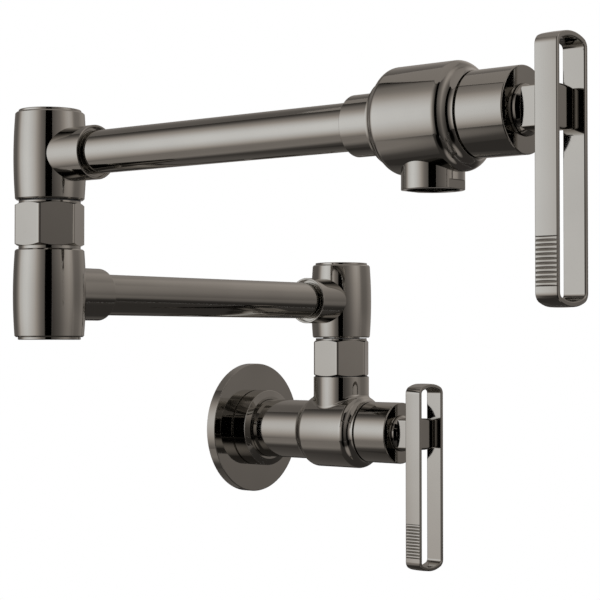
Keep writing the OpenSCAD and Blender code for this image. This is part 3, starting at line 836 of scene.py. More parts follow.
@dataclass
class WallFlange(Assembly):
    """The round flange on the wall and the collar that locks it on the neck."""

    flange_d: float = 72.0
    thick: float = 5.5
    bore_r: float = 16.15
    hollow: float = 3.0
    rim: float = 1.7
    boss: float = 2.2
    collar_d: float = 42.1
    collar_len: float = 9.1
    seam: float = 0.6
    seam_depth: float = 0.55
    dish: float = 0.9
    front_flat: float = 3.6
    screw_d: float = 3.0
    screw_back: float = 1.9
    drill_len: float = 8.0
    seat: Seat = Seat(0.0, 0.0, 0.0, Axis.ROOM)

    def flange(self) -> None:
        """Builds the flange with its hollow back."""
        r, boss_r = self.flange_d / 2, self.bore_r + self.boss
        corners = [
            (r, 0.0, 0.12),
            (r, self.thick, 0.4),
            (self.bore_r, self.thick, 0.1),
            (self.bore_r, 0.0, 0.1),
            (boss_r, 0.0, 0.1),
            (boss_r, self.hollow, 0.2),
            (r - self.rim, self.hollow, 0.2),
            (r - self.rim, 0.0, 0.1),
        ]
        self.shop.turned_piece(Ticket("flange_plate", "wall_flange", "wall_body", self.seat), corners, FINE)

    def collar(self) -> None:
        """Builds the collar, with the hole for its set screw underneath."""
        r, back, end = self.collar_d / 2, self.thick + FIT, self.thick + self.collar_len
        corners = [
            (self.bore_r, back, 0.05),
            (r - self.seam_depth, back, 0.05),
            (r - self.seam_depth, self.thick + self.seam, 0.05),
            (r, self.thick + self.seam, 0.12),
            (r, end, 0.35),
            (r - self.front_flat, end + self.dish, 0.5),
            (self.bore_r, end + self.dish, 0.1),
        ]
        mesh = self.shop.turned(corners)
        mesh = self.shop.bored(mesh, self.screw_d, self.drill_len, -r - 1, end - self.screw_back)
        self.shop.piece(Ticket("locking_collar", "flange_collar", "wall_body", self.seat), mesh)

    def build(self) -> None:
        """Builds the flange and its collar."""
        self.flange()
        self.collar()


@dataclass
class QuarterTurnValve(Assembly):
    """A valve's turned body and its bonnet, in the valve's own frame: port axis at 0, front along +Z."""

    body_d: float
    seat: Seat
    body: str
    body_node: str
    bonnet_node: str
    rear_r: float
    rear_t: float
    half: float = 19.8
    run: float = 7.0
    end_r: float = 16.3
    spigot_r: float = 14.2
    spigot_len: float = 6.2
    cavity_r: float = 12.6
    seat_depth: float = 9.0
    way_r: float = 7.0
    tube_bore_r: float = 9.575
    tube_stop: float = 12.2
    stop_slope: float = 0.2
    bonnet_r: float = 16.2
    joint: float = 0.9
    bonnet_len: float = 19.9
    bonnet_wall: float = 2.7
    bonnet_hole_r: float = 7.8

    def barrel_curve(self) -> list[Pair]:
        """The body's outer curve.

        Returns:
            The points from its rear ogee's foot to its front ogee's end.
        """
        rear = ogee(self.body_d / 2, self.rear_r, -self.half + self.run, self.run, -1)[::-1]
        front = ogee(self.body_d / 2, self.end_r, self.half - self.run, self.run, 1)
        return rear + front

    def rear_corners(self) -> list[Corner]:
        """The corners of the body's rear end, from its bore out to its outer curve.

        Returns:
            The corners.
        """
        return [
            Corner(self.way_r, self.stop_slope - self.tube_stop, 0.1),
            Corner(self.tube_bore_r, -self.tube_stop, 0.1),
            Corner(self.tube_bore_r, self.rear_t, 0.1),
            Corner(self.rear_r, self.rear_t, 0.12),
        ]

    def body_mesh(self) -> Mesh:
        """The turned body with its bores.

        Returns:
            The mesh.
        """
        spigot = self.half + self.spigot_len
        front_corners = [
            (self.end_r, self.half, 0.12),
            (self.spigot_r, self.half, 0.1),
            (self.spigot_r, spigot, 0.2),
            (self.cavity_r, spigot, 0.1),
            (self.cavity_r, -self.seat_depth, 0.1),
            (self.way_r, -self.seat_depth, 0.1),
        ]
        return self.shop.turned(self.rear_corners() + curve(self.barrel_curve()[:-1]) + front_corners, FINE)

    def build(self) -> None:
        """Builds the valve's body and its bonnet, a plain sleeve with a mirror-flat front."""
        casting = Ticket(self.body_node + "_casting", self.body_node, self.body, self.seat)
        self.shop.piece(casting, self.body_mesh())
        back, inner = self.half + self.joint, self.spigot_r + FIT
        front = back + self.bonnet_len
        corners = [
            (inner, back, 0.08),
            (self.bonnet_r, back, 0.3),
            (self.bonnet_r, front, 0.45),
            (self.bonnet_hole_r, front, 0.25),
            (self.bonnet_hole_r, front - self.bonnet_wall, 0.1),
            (inner, front - self.bonnet_wall, 0.2),
        ]
        sleeve = Ticket(self.bonnet_node + "_sleeve", self.bonnet_node, self.body, self.seat)
        self.shop.turned_piece(sleeve, corners, FINE)


@dataclass
class WallValve(QuarterTurnValve):
    """The valve at the wall: its neck runs back to the inlet and its riser stands on a rolled fillet."""

    inlet_r: float = 9.5
    inlet_depth: float = 16.0
    riser_r: float = 15.05
    riser_top: float = 29.5
    fillet_r: float = 2.4
    root_share: float = 0.85
    root_h: float = 15.0
    highest_ball: float = 40.0
    halvings: int = 40
    fillet_steps: int = 10

    def rear_corners(self) -> list[Corner]:
        """The corners of the neck's rear end, with the wide mouth of the inlet.

        Returns:
            The corners.
        """
        floor = self.rear_t + self.inlet_depth
        return [
            Corner(self.way_r, floor, 0.1),
            Corner(self.inlet_r, floor, 0.1),
            Corner(self.inlet_r, self.rear_t, 0.3),
            Corner(self.rear_r, self.rear_t, 0.3),
        ]

    def body_mesh(self) -> Mesh:
        """The turned body with the riser on it."""
        return self.shop.joined(super().body_mesh(), self.riser_mesh())

    def nearest(self, point: np.ndarray) -> np.ndarray:
        """The nearest point of the body's outer curve.

        Args:
            point: A radius and a place along the axis.

        Returns:
            The point's radius and place.
        """
        skin = np.array(self.barrel_curve())
        first, edge = skin[:-1], np.diff(skin, axis=0)
        share = np.clip(((point - first) * edge).sum(1) / (edge**2).sum(1), 0, 1)
        spots = first + edge * share[:, None]
        return spots[np.argmin(((spots - point) ** 2).sum(1))]

    def ball_height(self, x: float, along: float) -> float:
        """Height at which a ball between the riser and the body just touches the body.

        Args:
            x: How far the ball's centre lies beside the axis.
            along: Its place along the axis.

        Returns:
            The height of its centre.
        """
        low, high = 0.0, self.highest_ball
        for _ in range(self.halvings):
            height = (low + high) / 2
            centre = np.array((math.hypot(x, height), along))
            skin = self.nearest(centre)
            if centre[0] > skin[0] and np.linalg.norm(skin - centre) > self.fillet_r:
                high = height
            else:
                low = height
        return height

    def riser_mesh(self) -> Mesh:
        """The riser, whose foot is the path of a ball rolled between it and the body.

        Returns:
            A closed mesh that ends inside the body's wall.
        """
        rings = []
        for phi in np.linspace(0, TURN, FINE, endpoint=False):
            side = np.array((math.sin(phi), math.cos(phi)))
            x, along = side * (self.riser_r + self.fillet_r)
            height = self.ball_height(x, along)
            reach = math.hypot(x, height)
            foot_r, foot_t = self.nearest(np.array((reach, along)))
            foot = np.array((x / reach * foot_r, height / reach * foot_r, foot_t))
            middle = np.array((x, height, along))
            wall = np.array((side[0] * self.riser_r, height, side[1] * self.riser_r))
            bend = arc(middle, wall - middle, foot - middle, self.fillet_steps)
            top = outline([(0, self.riser_top), (self.riser_r, self.riser_top, 0.3), (self.riser_r, height)])
            upper = [np.array((side[0] * r, h, side[1] * r)) for r, h in top]
            rings.append(upper[:-1] + bend + [foot * self.root_share, np.array((0.0, self.root_h, 0.0))])
        return self.shop.skinned(np.array(rings))


@dataclass
class Lever(Assembly):
    """A lever: its hub on the stem and the open loop of bent strip."""

    side: str
    seat: Seat
    width: float = 21.5
    strip_t: float = 2.1
    strip_w: float = 9.3
    rise: float = 26.5
    drop: float = 71.3
    corner_r: float = 4.0
    end_r: float = 22.0
    edge_r: float = 0.5
    crown: float = 0.14
    ribs: int = 11
    pitch: float = 1.61
    rib_r: float = 0.85
    rib_start: float = 8.08
    hub_back: float = 43.7
    hub_len: float = 12.2
    hub_w: float = 17.2
    hub_h: float = 16.5
    crown_r: float = 38.0
    hub_edge_r: float = 2.3
    hub_bevel: float = 0.35
    hub_blend: float = 0.12
    hub_support: float = 0.3
    nose_share: float = 0.97
    block_steps: int = 320
    bend_points: int = 15
    rib_points: int = 11
    bevel_points: int = 7
    hub_steps: int = 128
    collar_back: float = 40.9
    collar_r: float = 9.7
    collar_t: float = 1.0
    collar_slope: float = 0.25
    shank_r: float = 7.5
    shank_len: float = 4.4
    waist_r: float = 8.4
    waist_flare: float = 0.2
    waist_lap: float = 0.4
    proud: float = 4.05
    screw_d: float = 4.0
    screw_place: float = 4.0
    drill_len: float = 3.5

    def end_curve(self, top: float) -> list[tuple[float, ...]]:
        """Right half of an end: outer points with their outward ways, from the side to the crest.

        Args:
            top: Height of the crest.

        Returns:
            Rows of x, y and the outward way.
        """
        x, lift = self.width / 2 - self.corner_r, top - self.end_r
        corner_y = lift + math.sqrt((self.end_r - self.corner_r) ** 2 - x * x)
        turn = math.degrees(math.atan2(corner_y - lift, x))
        rows = []
        bends = ((x, corner_y, self.corner_r, 0, turn), (0.0, lift, self.end_r, turn, 90))
        for cx, cy, radius, a, b in bends:
            for angle in np.radians(np.linspace(a, b, self.bend_points)):
                c, s = math.cos(angle), math.sin(angle)
                rows.append((cx + radius * c, cy + radius * s, c, s))
        return rows

    def side_heights(self, low: float, high: float) -> list[float]:
        """Heights on a straight side where the strip needs a ring, the ribs' crests and valleys too.

        Args:
            low: The side's lower end.
            high: Its upper end.

        Returns:
            The heights between the two, from below.
        """
        edge = math.asin(self.pitch / 2 / self.rib_r)
        crest = [self.rib_r * math.sin(a) for a in np.linspace(-edge, edge, self.rib_points)]
        first = self.rib_start - self.drop
        heights = [low + EASE, first - self.pitch / 2 - RIB_WALL, first + crest[0]]
        for i in range(self.ribs):
            heights += [first + i * self.pitch + y for y in crest[1:]]
        return heights + [heights[-1] + RIB_WALL, high - EASE]

    def loop(self) -> None:
        """Builds the open loop with its grip ribs."""
        upper, lower = self.end_curve(self.rise), self.end_curve(self.drop)
        straight = [(self.width / 2, y, 1.0, 0.0) for y in self.side_heights(-lower[0][1], upper[0][1])]
        half = [(x, -y, nx, -ny) for x, y, nx, ny in lower[::-1]] + straight + upper
        mirrored = [(-x, y, -nx, ny) for x, y, nx, ny in half[::-1]]
        t, w, e, crown = self.strip_t, self.strip_w, self.edge_r, self.crown
        face = [(crown * (2 * share - 1) ** 2, share * w) for share in np.linspace(0.1, 0.9, 9)]
        section = outline([(crown, 0, e), *face, (crown, w, e), (t, w, e), (t, 0, e)], closed=True, steps=5)
        path = half + mirrored[1:-1]
        rings = np.array([[(x - nx * d, y - ny * d, z) for d, z in section] for x, y, nx, ny in path])
        rings[:, :, 2] += self.hub_back + self.hub_len + self.proud - w
        values = {
            "Half Width": self.width / 2,
            "Start": self.rib_start - self.drop,
            "Pitch": self.pitch,
            "Count": float(self.ribs),
            "Radius": self.rib_r,
        }
        mesh = self.shop.formed(self.shop.ribs, self.shop.skinned(rings), values)
        self.shop.piece(self.ticket("strip", "loop"), mesh)

    def ticket(self, name: str, node: str) -> Ticket:
        """The ticket of one of the lever's two pieces, by the ends of its names."""
        stem = self.side + "_lever"
        return Ticket(f"{stem}_{name}", f"{stem}_{node}", stem, self.seat)

    def block_places(self) -> np.ndarray:
        """Places along the axis where the hub's block needs a ring, its rounded front edges too.

        Returns:
            The places.
        """
        front, bevel_end = self.hub_back + self.hub_len, self.hub_back + self.hub_bevel
        rear = np.linspace(self.hub_back, bevel_end, self.bevel_points)
        angles = np.radians(np.linspace(0, 90, self.bend_points))
        nose = front - self.hub_edge_r + self.hub_edge_r * np.sin(angles)
        return np.concatenate([rear, [bevel_end + self.hub_support, nose[0] - EASE], nose])

    def front_fall(self, t: float, radius: float) -> float:
        """How far a side has fallen at a place along the axis, where it rounds into the front."""
        over = max(0.0, t - (self.hub_back + self.hub_len - radius))
        return radius - math.sqrt(max(0.0, radius**2 - over**2))

    def block_row(self, angle: float) -> list[Pair]:
        """The block's outline at an angle: flat sides, crowned top and foot, and a turned rear edge.

        Args:
            angle: Angle round the axis, in radians.

        Returns:
            Rows of radius and place along the axis.
        """
        half, corner = self.hub_w / 2, math.hypot(self.hub_w, self.hub_h) / 2
        c, s = max(NIL, abs(math.cos(angle))), abs(math.sin(angle))
        lift = self.crown_r - self.hub_h / 2
        top = -lift * s + math.sqrt((lift * s) ** 2 + self.crown_r**2 - lift**2)
        row = [(0.0, self.hub_back)]
        for t in self.block_places():
            flat = (half - self.front_fall(t, self.hub_edge_r)) / c
            crown = top * (1 - self.front_fall(t, self.hub_edge_r / 2) / (self.hub_h / 2))
            cone = half + (corner - half) * (t - self.hub_back) / self.hub_bevel
            row.append((soft_least([flat, crown, cone], self.hub_blend), t))
        front = self.hub_back + self.hub_len
        return row + [(row[-1][0] * self.nose_share, front), (0.0, front)]

    def hub(self) -> None:
        """Builds the hub: its round collar and waist, and the block with the set screw's hole."""
        back, waist_end = self.collar_back, self.hub_back + self.waist_lap
        corners = [
            (0, back - self.shank_len),
            (self.shank_r, back - self.shank_len, 0.2),
            (self.shank_r, back, 0.1),
            (self.collar_r, back, 0.15),
            (self.collar_r - self.collar_slope, back + self.collar_t, 0.2),
            (self.waist_r, self.hub_back - self.waist_flare, 0.1),
            (self.waist_r, waist_end),
            (0, waist_end),
        ]
        turned = self.shop.turned(corners, self.hub_steps, False)
        block = self.shop.lofted(np.linspace(0, TURN, self.block_steps, endpoint=False), self.block_row)
        low, along = -self.hub_h / 2 - 1, self.hub_back + self.screw_place
        block = self.shop.bored(block, self.screw_d, self.drill_len, low, along)
        self.shop.piece(self.ticket("block", "hub"), self.shop.joined(turned, block))

    def build(self) -> None:
        """Builds the hub and the loop."""
        self.hub()
        self.loop()


@dataclass
class Column(Assembly):
    """The turned and hexagonal pieces that stand on a swivel axis."""

    x: float
    y: float
    barrel_h: float = 39.4
    end_r: float = 15.55
    mid_r: float = 16.3
    bevel: float = 0.6
    cap_r: float = 14.05
    cap_rise: float = 1.2
    cap_len: float = 2.5
    cap_gap: float = 0.02
    cap_pocket_r: float = 12.3
    cap_pocket: float = 5.4
    hex_af: float = 28.0
    hex_h: float = 19.4
    hex_face_r: float = 13.85
    hex_bevel_h: float = 1.2
    hex_bevel_spare: float = 0.3
    hex_edge_r: float = 1.85
    hex_least: float = 0.02
    hex_support: float = 1.05
    hex_bend_points: int = 15
    hex_flat_points: int = 11
    bow_points: int = 41
    foot_r: float = 10.55

    def barrel(self, where: str, cap: str, body: str, z: float, bore_r: float, way: int = 1) -> None:
        """Builds a bowed barrel and the low round cap in its mouth.

        Args:
            where: First words of the barrel's names.
            cap: First words of the cap's names.
            body: The CAD body that they move with.
            z: Height of the barrel's middle.
            bore_r: Radius of its bore.
            way: 1 with the cap on top, -1 with the cap below.
        """
        half, bulge = self.barrel_h / 2, self.mid_r - self.end_r
        bow_half = half - self.bevel
        bow_r = (bow_half**2 + bulge**2) / (2 * bulge)
        places = np.linspace(-bow_half, bow_half, self.bow_points)
        bow = [(self.mid_r - bow_r + math.sqrt(bow_r**2 - t * t), way * t) for t in places]
        foot = [(bore_r, -half * way, 0.15), (self.end_r - self.bevel, -half * way, 0.15)]
        mouth = [
            (self.end_r - self.bevel, half * way, 0.15),
            (self.cap_pocket_r, half * way, 0.1),
            (self.cap_pocket_r, (half - self.cap_pocket) * way, 0.1),
            (bore_r, (half - self.cap_pocket) * way, 0.1),
        ]
        seat = Seat(self.x, self.y, z)
        sleeve = Ticket(where + "_sleeve", where + "_barrel", body, seat)
        self.shop.turned_piece(sleeve, foot + curve(bow) + mouth, FINE)
        pocket, low, rim = self.cap_pocket_r - FIT, (half - self.cap_len) * way, (half + self.cap_gap) * way
        top = (half + self.cap_rise) * way
        lid = [
            (0, low),
            (pocket, low, 0.2),
            (pocket, rim),
            (self.cap_r, rim, 0.08),
            (self.cap_r, top, 0.4),
            (0, top),
        ]
        self.shop.turned_piece(Ticket(cap + "_lid", cap + "_cap", body, seat), lid, closed=False)

    def hex_corner(self) -> Pair:
        """How a nut's corner is rounded.

        Returns:
            Radius of the circle of the roundings' centres, and the half angle that a rounding takes.
        """
        reach = (self.hex_af / 2 - self.hex_edge_r) / math.cos(TURN / 12)
        return reach, TURN / 12 - math.atan2(reach * 0.5, self.hex_af / 2)

    def hex_angles(self) -> np.ndarray:
        """Angles round the nut, close together at its rounded corners.

        Returns:
            The angles in radians.
        """
        limit = self.hex_corner()[1]
        past = limit * self.hex_support
        bend = np.linspace(-limit, limit, self.hex_bend_points)
        flat = np.linspace(limit, TURN / 6 - limit, self.hex_flat_points)[1:-1]
        one = np.concatenate([bend, [past], flat, [TURN / 6 - past]])
        return np.concatenate([one + k * TURN / 6 + TURN / 4 for k in range(6)])

    def hex_radius(self, angle: float) -> float:
        """Distance from the axis to the nut's side.

        Args:
            angle: Angle round the axis, in radians.

        Returns:
            The distance.
        """
        reach, limit = self.hex_corner()
        off = (angle - TURN / 4 + TURN / 12) % (TURN / 6) - TURN / 12
        if abs(off) < limit:
            return reach * math.cos(off) + math.sqrt(self.hex_edge_r**2 - (reach * math.sin(off)) ** 2)
        return self.hex_af / 2 / math.cos(TURN / 12 - abs(off))

    def nut(self, where: str, body: str, low: float) -> None:
        """Builds a hex nut whose end faces are turned down to a circle.

        Args:
            where: First word of its names.
            body: The CAD body that it moves with.
            low: Height of its lower face.
        """
        slope = self.hex_bevel_h / (self.hex_af / math.sqrt(3) - self.hex_af / 2 + self.hex_bevel_spare)
        high = low + self.hex_h

        def row_at(angle: float) -> np.ndarray:
            """The nut's outline at an angle.

            Args:
                angle: Angle round the axis, in radians.

            Returns:
                Rows of radius and height.
            """
            r = self.hex_radius(angle)
            fall = max(self.hex_least, (r - self.hex_face_r) * slope)
            face = min(self.hex_face_r, r - self.hex_least)
            corners = [
                (self.foot_r, low, 0.1),
                (face, low, 0.12),
                (r, low + fall, 0.12),
                (r, high - fall, 0.12),
                (face, high, 0.12),
                (self.foot_r, high, 0.1),
            ]
            return outline(corners, closed=True, steps=4)

        mesh = self.shop.lofted(self.hex_angles(), row_at)
        self.shop.piece(Ticket(where + "_nut", where + "_hex_nut", body, Seat(self.x, self.y, 0.0)), mesh)

    def ring(
        self, name: str, node: str, body: str, low: float, high: float, r: float, finish: Finish
    ) -> None:
        """Builds a thin ring, such as a washer or spacer, between two heights.

        Args:
            name: The piece's name.
            node: The CAD node that it stands for.
            body: The CAD body that it moves with.
            low: Height of its lower face.
            high: Height of its upper face.
            r: Its outer radius.
            finish: Its finish.
        """
        corners = [(self.foot_r, low, 0.1), (r, low, 0.15), (r, high, 0.15), (self.foot_r, high, 0.1)]
        self.shop.turned_piece(Ticket(name, node, body, Seat(self.x, self.y, 0.0), finish), corners)


@dataclass
class Arm(Assembly):
    """An arm's tube with its collars: each collar's open end is a thin lip round a dark recess."""

    level: str
    seat: Seat
    tube_r: float = 9.525
    tube_wall: float = 1.25
    collar_r: float = 12.05
    lip: float = 1.0
    recess: float = 2.2
    reach: float = 30.2
    root: float = 10.75
    tube_seat: float = 12.7

    def collar(self, where: str, seat: Seat, start: float, end: float) -> None:
        """Builds a collar.

        Args:
            where: First words of its names.
            seat: Its place; the axis is the tube's.
            start: Where the collar starts along that axis.
            end: Where its open end is.
        """
        inner, mouth = self.tube_r + FIT, self.collar_r - self.lip
        floor = end - math.copysign(self.recess, end - start)
        corners = [
            (inner, start, 0.1),
            (self.collar_r, start, 0.1),
            (self.collar_r, end, 0.3),
            (mouth, end, 0.25),
            (mouth, floor, 0.2),
            (inner, floor, 0.1),
        ]
        ferrule = Ticket(where + "_ferrule", where + "_collar", self.level + "_arm", seat)
        self.shop.turned_piece(ferrule, corners)

    def tube(self, end: float) -> None:
        """Builds the tube, from inside its first barrel to an end along the arm.

        Args:
            end: Where the tube ends.
        """
        start, outer, inner = self.tube_seat + FIT, self.tube_r, self.tube_r - self.tube_wall
        corners = [(inner, start, 0.1), (outer, start, 0.1), (outer, end, 0.1), (inner, end, 0.1)]
        pipe = Ticket(self.level + "_pipe", self.level + "_tube", self.level + "_arm", self.seat)
        self.shop.turned_piece(pipe, corners, FINE)


@dataclass
class Outlet(Assembly):
    """The outlet with its two wrench flats under a round shoulder, and the aerator's drilled insert."""

    seat: Seat
    r: float = 12.0
    flat_half: float = 10.78
    flat_h: float = 3.35
    flat_edge: float = 0.006
    drop: float = 26.8
    top: float = -14.45
    mouth_r: float = 10.1
    mouth_depth: float = 4.4
    shelf: float = 1.2
    bore_r: float = 7.5
    insert_top: float = -17.0
    hole_r: float = 1.1
    hole_pitch: float = 3.1
    steps: int = 176
    insert_steps: int = 96

    def angles(self) -> np.ndarray:
        """Angles round the outlet, with some close together at the flats' edges.

        Returns:
            The angles in radians.
        """
        start = math.acos(self.flat_half / self.r)
        near = [start + step * self.flat_edge for step in (-1, 0, 1)]
        edges = [TURN / 4 + k * TURN / 2 + way * angle for k in (0, 1) for way in (-1, 1) for angle in near]
        even = np.linspace(0, TURN, self.steps, endpoint=False)
        return np.unique(np.concatenate([even, np.mod(edges, TURN)]))

    def row_at(self, angle: float) -> np.ndarray:
        """The housing's outline at an angle.

        Args:
            angle: Angle round the axis, in radians.

        Returns:
            Rows of radius and height.
        """
        flat = min(self.r, self.flat_half / max(NIL, abs(math.sin(angle))))
        low, shelf = -self.drop, self.top - self.shelf
        corners = [
            (self.mouth_r, low, 0.25),
            (flat, low, 0.3),
            (flat, low + self.flat_h, 0.08),
            (self.r, low + self.flat_h, 0.12),
            (self.r, self.top, 0.05),
            (self.bore_r, self.top, 0.1),
            (self.bore_r, shelf, 0.1),
            (self.mouth_r, shelf, 0.1),
        ]
        return outline(corners, closed=True, steps=5)

    def build(self) -> None:
        """Builds the housing, and the insert with its rings of holes."""
        mesh = self.shop.lofted(self.angles(), self.row_at)
        self.shop.piece(Ticket("outlet_shell", "outlet_housing", "upper_arm", self.seat), mesh)
        low, r, top = self.mouth_depth - self.drop, self.mouth_r - FIT, self.insert_top
        plate = self.shop.turned([(0, low), (r, low, 0.3), (r, top, 0.2), (0, top)], self.insert_steps, False)
        holes = {"Hole Radius": self.hole_r, "Ring Pitch": self.hole_pitch}
        holes |= {"Depth": top - low + 2, "Middle": (low + top) / 2}
        insert = Ticket("aerator_plate", "aerator_insert", "upper_arm", self.seat, BEARING_PLASTIC)
        self.shop.piece(insert, self.shop.formed(self.shop.drill, plate, holes))


@dataclass
class PotFiller(Assembly):
    """The whole object: where each sub-assembly sits, and its pieces in order."""

    shoulder_out: float = 66.2
    lower_reach: float = 213.2
    spout_reach: float = 210.4
    wall_valve_d: float = 39.4
    wall_neck_r: float = 16.0
    spout_valve_d: float = 41.2
    spout_rear_r: float = 16.3
    washer_r: float = 14.4
    hex_low: float = 29.8
    neck_gap: float = 1.45
    neck_r: float = 13.9
    turning_bore_r: float = 10.05
    fixed_bore_r: float = 10.6
    level_step: float = 61.7
    lower_z: float = 70.35
    spout_collar_len: float = 15.8

    def build(self) -> None:
        """Builds every piece, from the wall out to the outlet."""
        shop, upper_z = self.shop, self.lower_z + self.level_step
        wall_seat = Seat(0.0, -self.shoulder_out, 0.0, Axis.ROOM)
        spout_place = (-self.lower_reach, -self.shoulder_out - self.spout_reach, upper_z)
        spout_seat = Seat(*spout_place, Axis.ROOM)
        wall_nodes = ("wall_body", "inlet_body", "wall_bonnet")
        spout_nodes = ("upper_arm", "spout_body", "spout_bonnet")
        wall_rear = (self.wall_neck_r, -self.shoulder_out)
        spout_rear = (self.spout_rear_r, -QuarterTurnValve.half)
        WallFlange(shop).build()
        WallValve(shop, self.wall_valve_d, wall_seat, *wall_nodes, *wall_rear).build()
        Lever(shop, "wall", wall_seat).build()
        self.shoulder()
        self.lower_arm()
        self.elbow(upper_z)
        self.upper_arm(upper_z)
        QuarterTurnValve(shop, self.spout_valve_d, spout_seat, *spout_nodes, *spout_rear).build()
        Lever(shop, "spout", spout_seat).build()
        Outlet(shop, Seat(*spout_place)).build()

    def shoulder(self) -> None:
        """Builds the shoulder column."""
        column = Column(self.shop, 0.0, -self.shoulder_out)
        span = (WallValve.riser_top, self.hex_low, self.washer_r)
        column.ring("riser_ring", "riser_washer", "wall_body", *span, BEARING_PLASTIC)
        column.nut("shoulder", "wall_body", self.hex_low)
        column.barrel("shoulder", "shoulder", "lower_arm", self.lower_z, self.turning_bore_r)

    def lower_arm(self) -> None:
        """Builds the lower arm's tube and collars."""
        near = Seat(0.0, -self.shoulder_out, self.lower_z, Axis.LEFT)
        far = Seat(-self.lower_reach, -self.shoulder_out, self.lower_z, Axis.RIGHT)
        arm = Arm(self.shop, "lower", near)
        arm.collar("shoulder", near, arm.root, arm.reach)
        arm.tube(self.lower_reach - arm.tube_seat - FIT)
        arm.collar("elbow_lower", far, arm.root, arm.reach)

    def elbow(self, upper_z: float) -> None:
        """Builds the elbow column.

        Args:
            upper_z: Height of the upper arm's axis.
        """
        column = Column(self.shop, -self.lower_reach, -self.shoulder_out)
        low = self.hex_low + self.level_step
        column.barrel("elbow_lower", "elbow_bottom", "lower_arm", self.lower_z, self.fixed_bore_r, -1)
        span = (low - self.neck_gap, low, self.neck_r)
        column.ring("elbow_ring", "elbow_spacer", "lower_arm", *span, DARK_NICKEL)
        column.nut("elbow", "lower_arm", low)
        column.barrel("elbow_upper", "elbow_top", "upper_arm", upper_z, self.turning_bore_r)

    def upper_arm(self, upper_z: float) -> None:
        """Builds the upper arm's tube and collars.

        Args:
            upper_z: Height of the upper arm's axis.
        """
        near = Seat(-self.lower_reach, -self.shoulder_out, upper_z, Axis.ROOM)
        arm = Arm(self.shop, "upper", near)
        arm.collar("elbow_upper", near, arm.root, arm.reach)
        arm.tube(self.spout_reach - QuarterTurnValve.tube_stop - FIT)
        rear = self.spout_reach - QuarterTurnValve.half
        arm.collar("spout", near, rear - FIT, rear - self.spout_collar_len)


# Studio

# Stops of a card's glow: a bearing or height and a strength. Bearings are degrees from +X.
Tones = tuple[Pair, ...]
EVEN: Tones = ((0.0, 1.0), (1.0, 1.0))
MIDDLE = (-110.0, -150.0)  # The studio's centre on the floor plan.
LEFT_ROUND: Tones = (
    (200, 0.12), (228, 0.095), (240, 0.15), (252, 0.2), (264, 0.3), (276, 0.42), (288, 0.48), (300, 0.41),
    (306, 0.32),
)
LEFT_UP: Tones = (
    (-452, 0.3), (-320, 0.42), (-260, 0.52), (-140, 0.66), (-50, 0.7), (10, 0.8), (130, 1.0), (190, 1.12),
    (250, 1.25), (370, 1.42), (430, 1.45), (700, 1.3), (950, 1.08), (1462, 0.85),
)
RIGHT_ROUND: Tones = (
    (306, 0.28), (312, 0.22), (318, 0.2), (336, 0.21), (342, 0.24), (354, 0.29), (370, 0.32), (378, 0.3),
    (390, 0.22), (408, 0.18), (426, 0.14), (590, 0.13),
)
RIGHT_UP: Tones = (
    (-452, 0.2), (-320, 0.2), (-260, 0.26), (-200, 0.45), (-140, 0.9), (-80, 1.05), (10, 1.15), (60, 1.0),
    (130, 1.03), (250, 1.22), (370, 1.42), (550, 1.6), (780, 1.7), (950, 1.5), (1150, 1.35), (1462, 1.1),
)
KEY_ROUND: Tones = (
    (102, 0.16), (108, 0.23), (114, 0.35), (120, 0.58), (126, 0.85), (132, 0.93), (140, 1.05), (150, 1.1),
    (156, 1.04), (165, 0.93), (174, 0.77), (180, 0.6), (186, 0.43), (192, 0.28), (204, 0.15),
)
KEY_UP: Tones = (
    (-440, 0.3), (-350, 0.41), (-290, 0.52), (-170, 0.71), (-50, 0.86), (70, 0.97), (190, 1.0), (310, 0.98),
    (430, 0.89), (550, 0.77), (700, 0.58), (860, 0.42), (950, 0.35), (1100, 0.31), (1390, 0.3), (1415, 0.04),
    (1450, 0.04),
)
KEY_POOL: Tones = (
    (0.0, 0.29), (0.4, 0.31), (0.5, 0.32), (0.6, 0.25), (0.68, 0.2), (0.75, 0.13), (0.82, 0.09), (1.0, 0.07),
)


def circle(radius: float, first: float, last: float, count: int, middle: tuple = MIDDLE) -> np.ndarray:
    """Points of a circle on the floor plan, by bearings in degrees.

    Args:
        radius: The circle's radius.
        first: Bearing of the first point.
        last: Bearing of the last point.
        count: Number of points.
        middle: The circle's centre.

    Returns:
        Rows of x and y.
    """
    angles = np.radians(np.linspace(first, last, count))
    return np.array(middle) + radius * np.column_stack([np.cos(angles), np.sin(angles)])


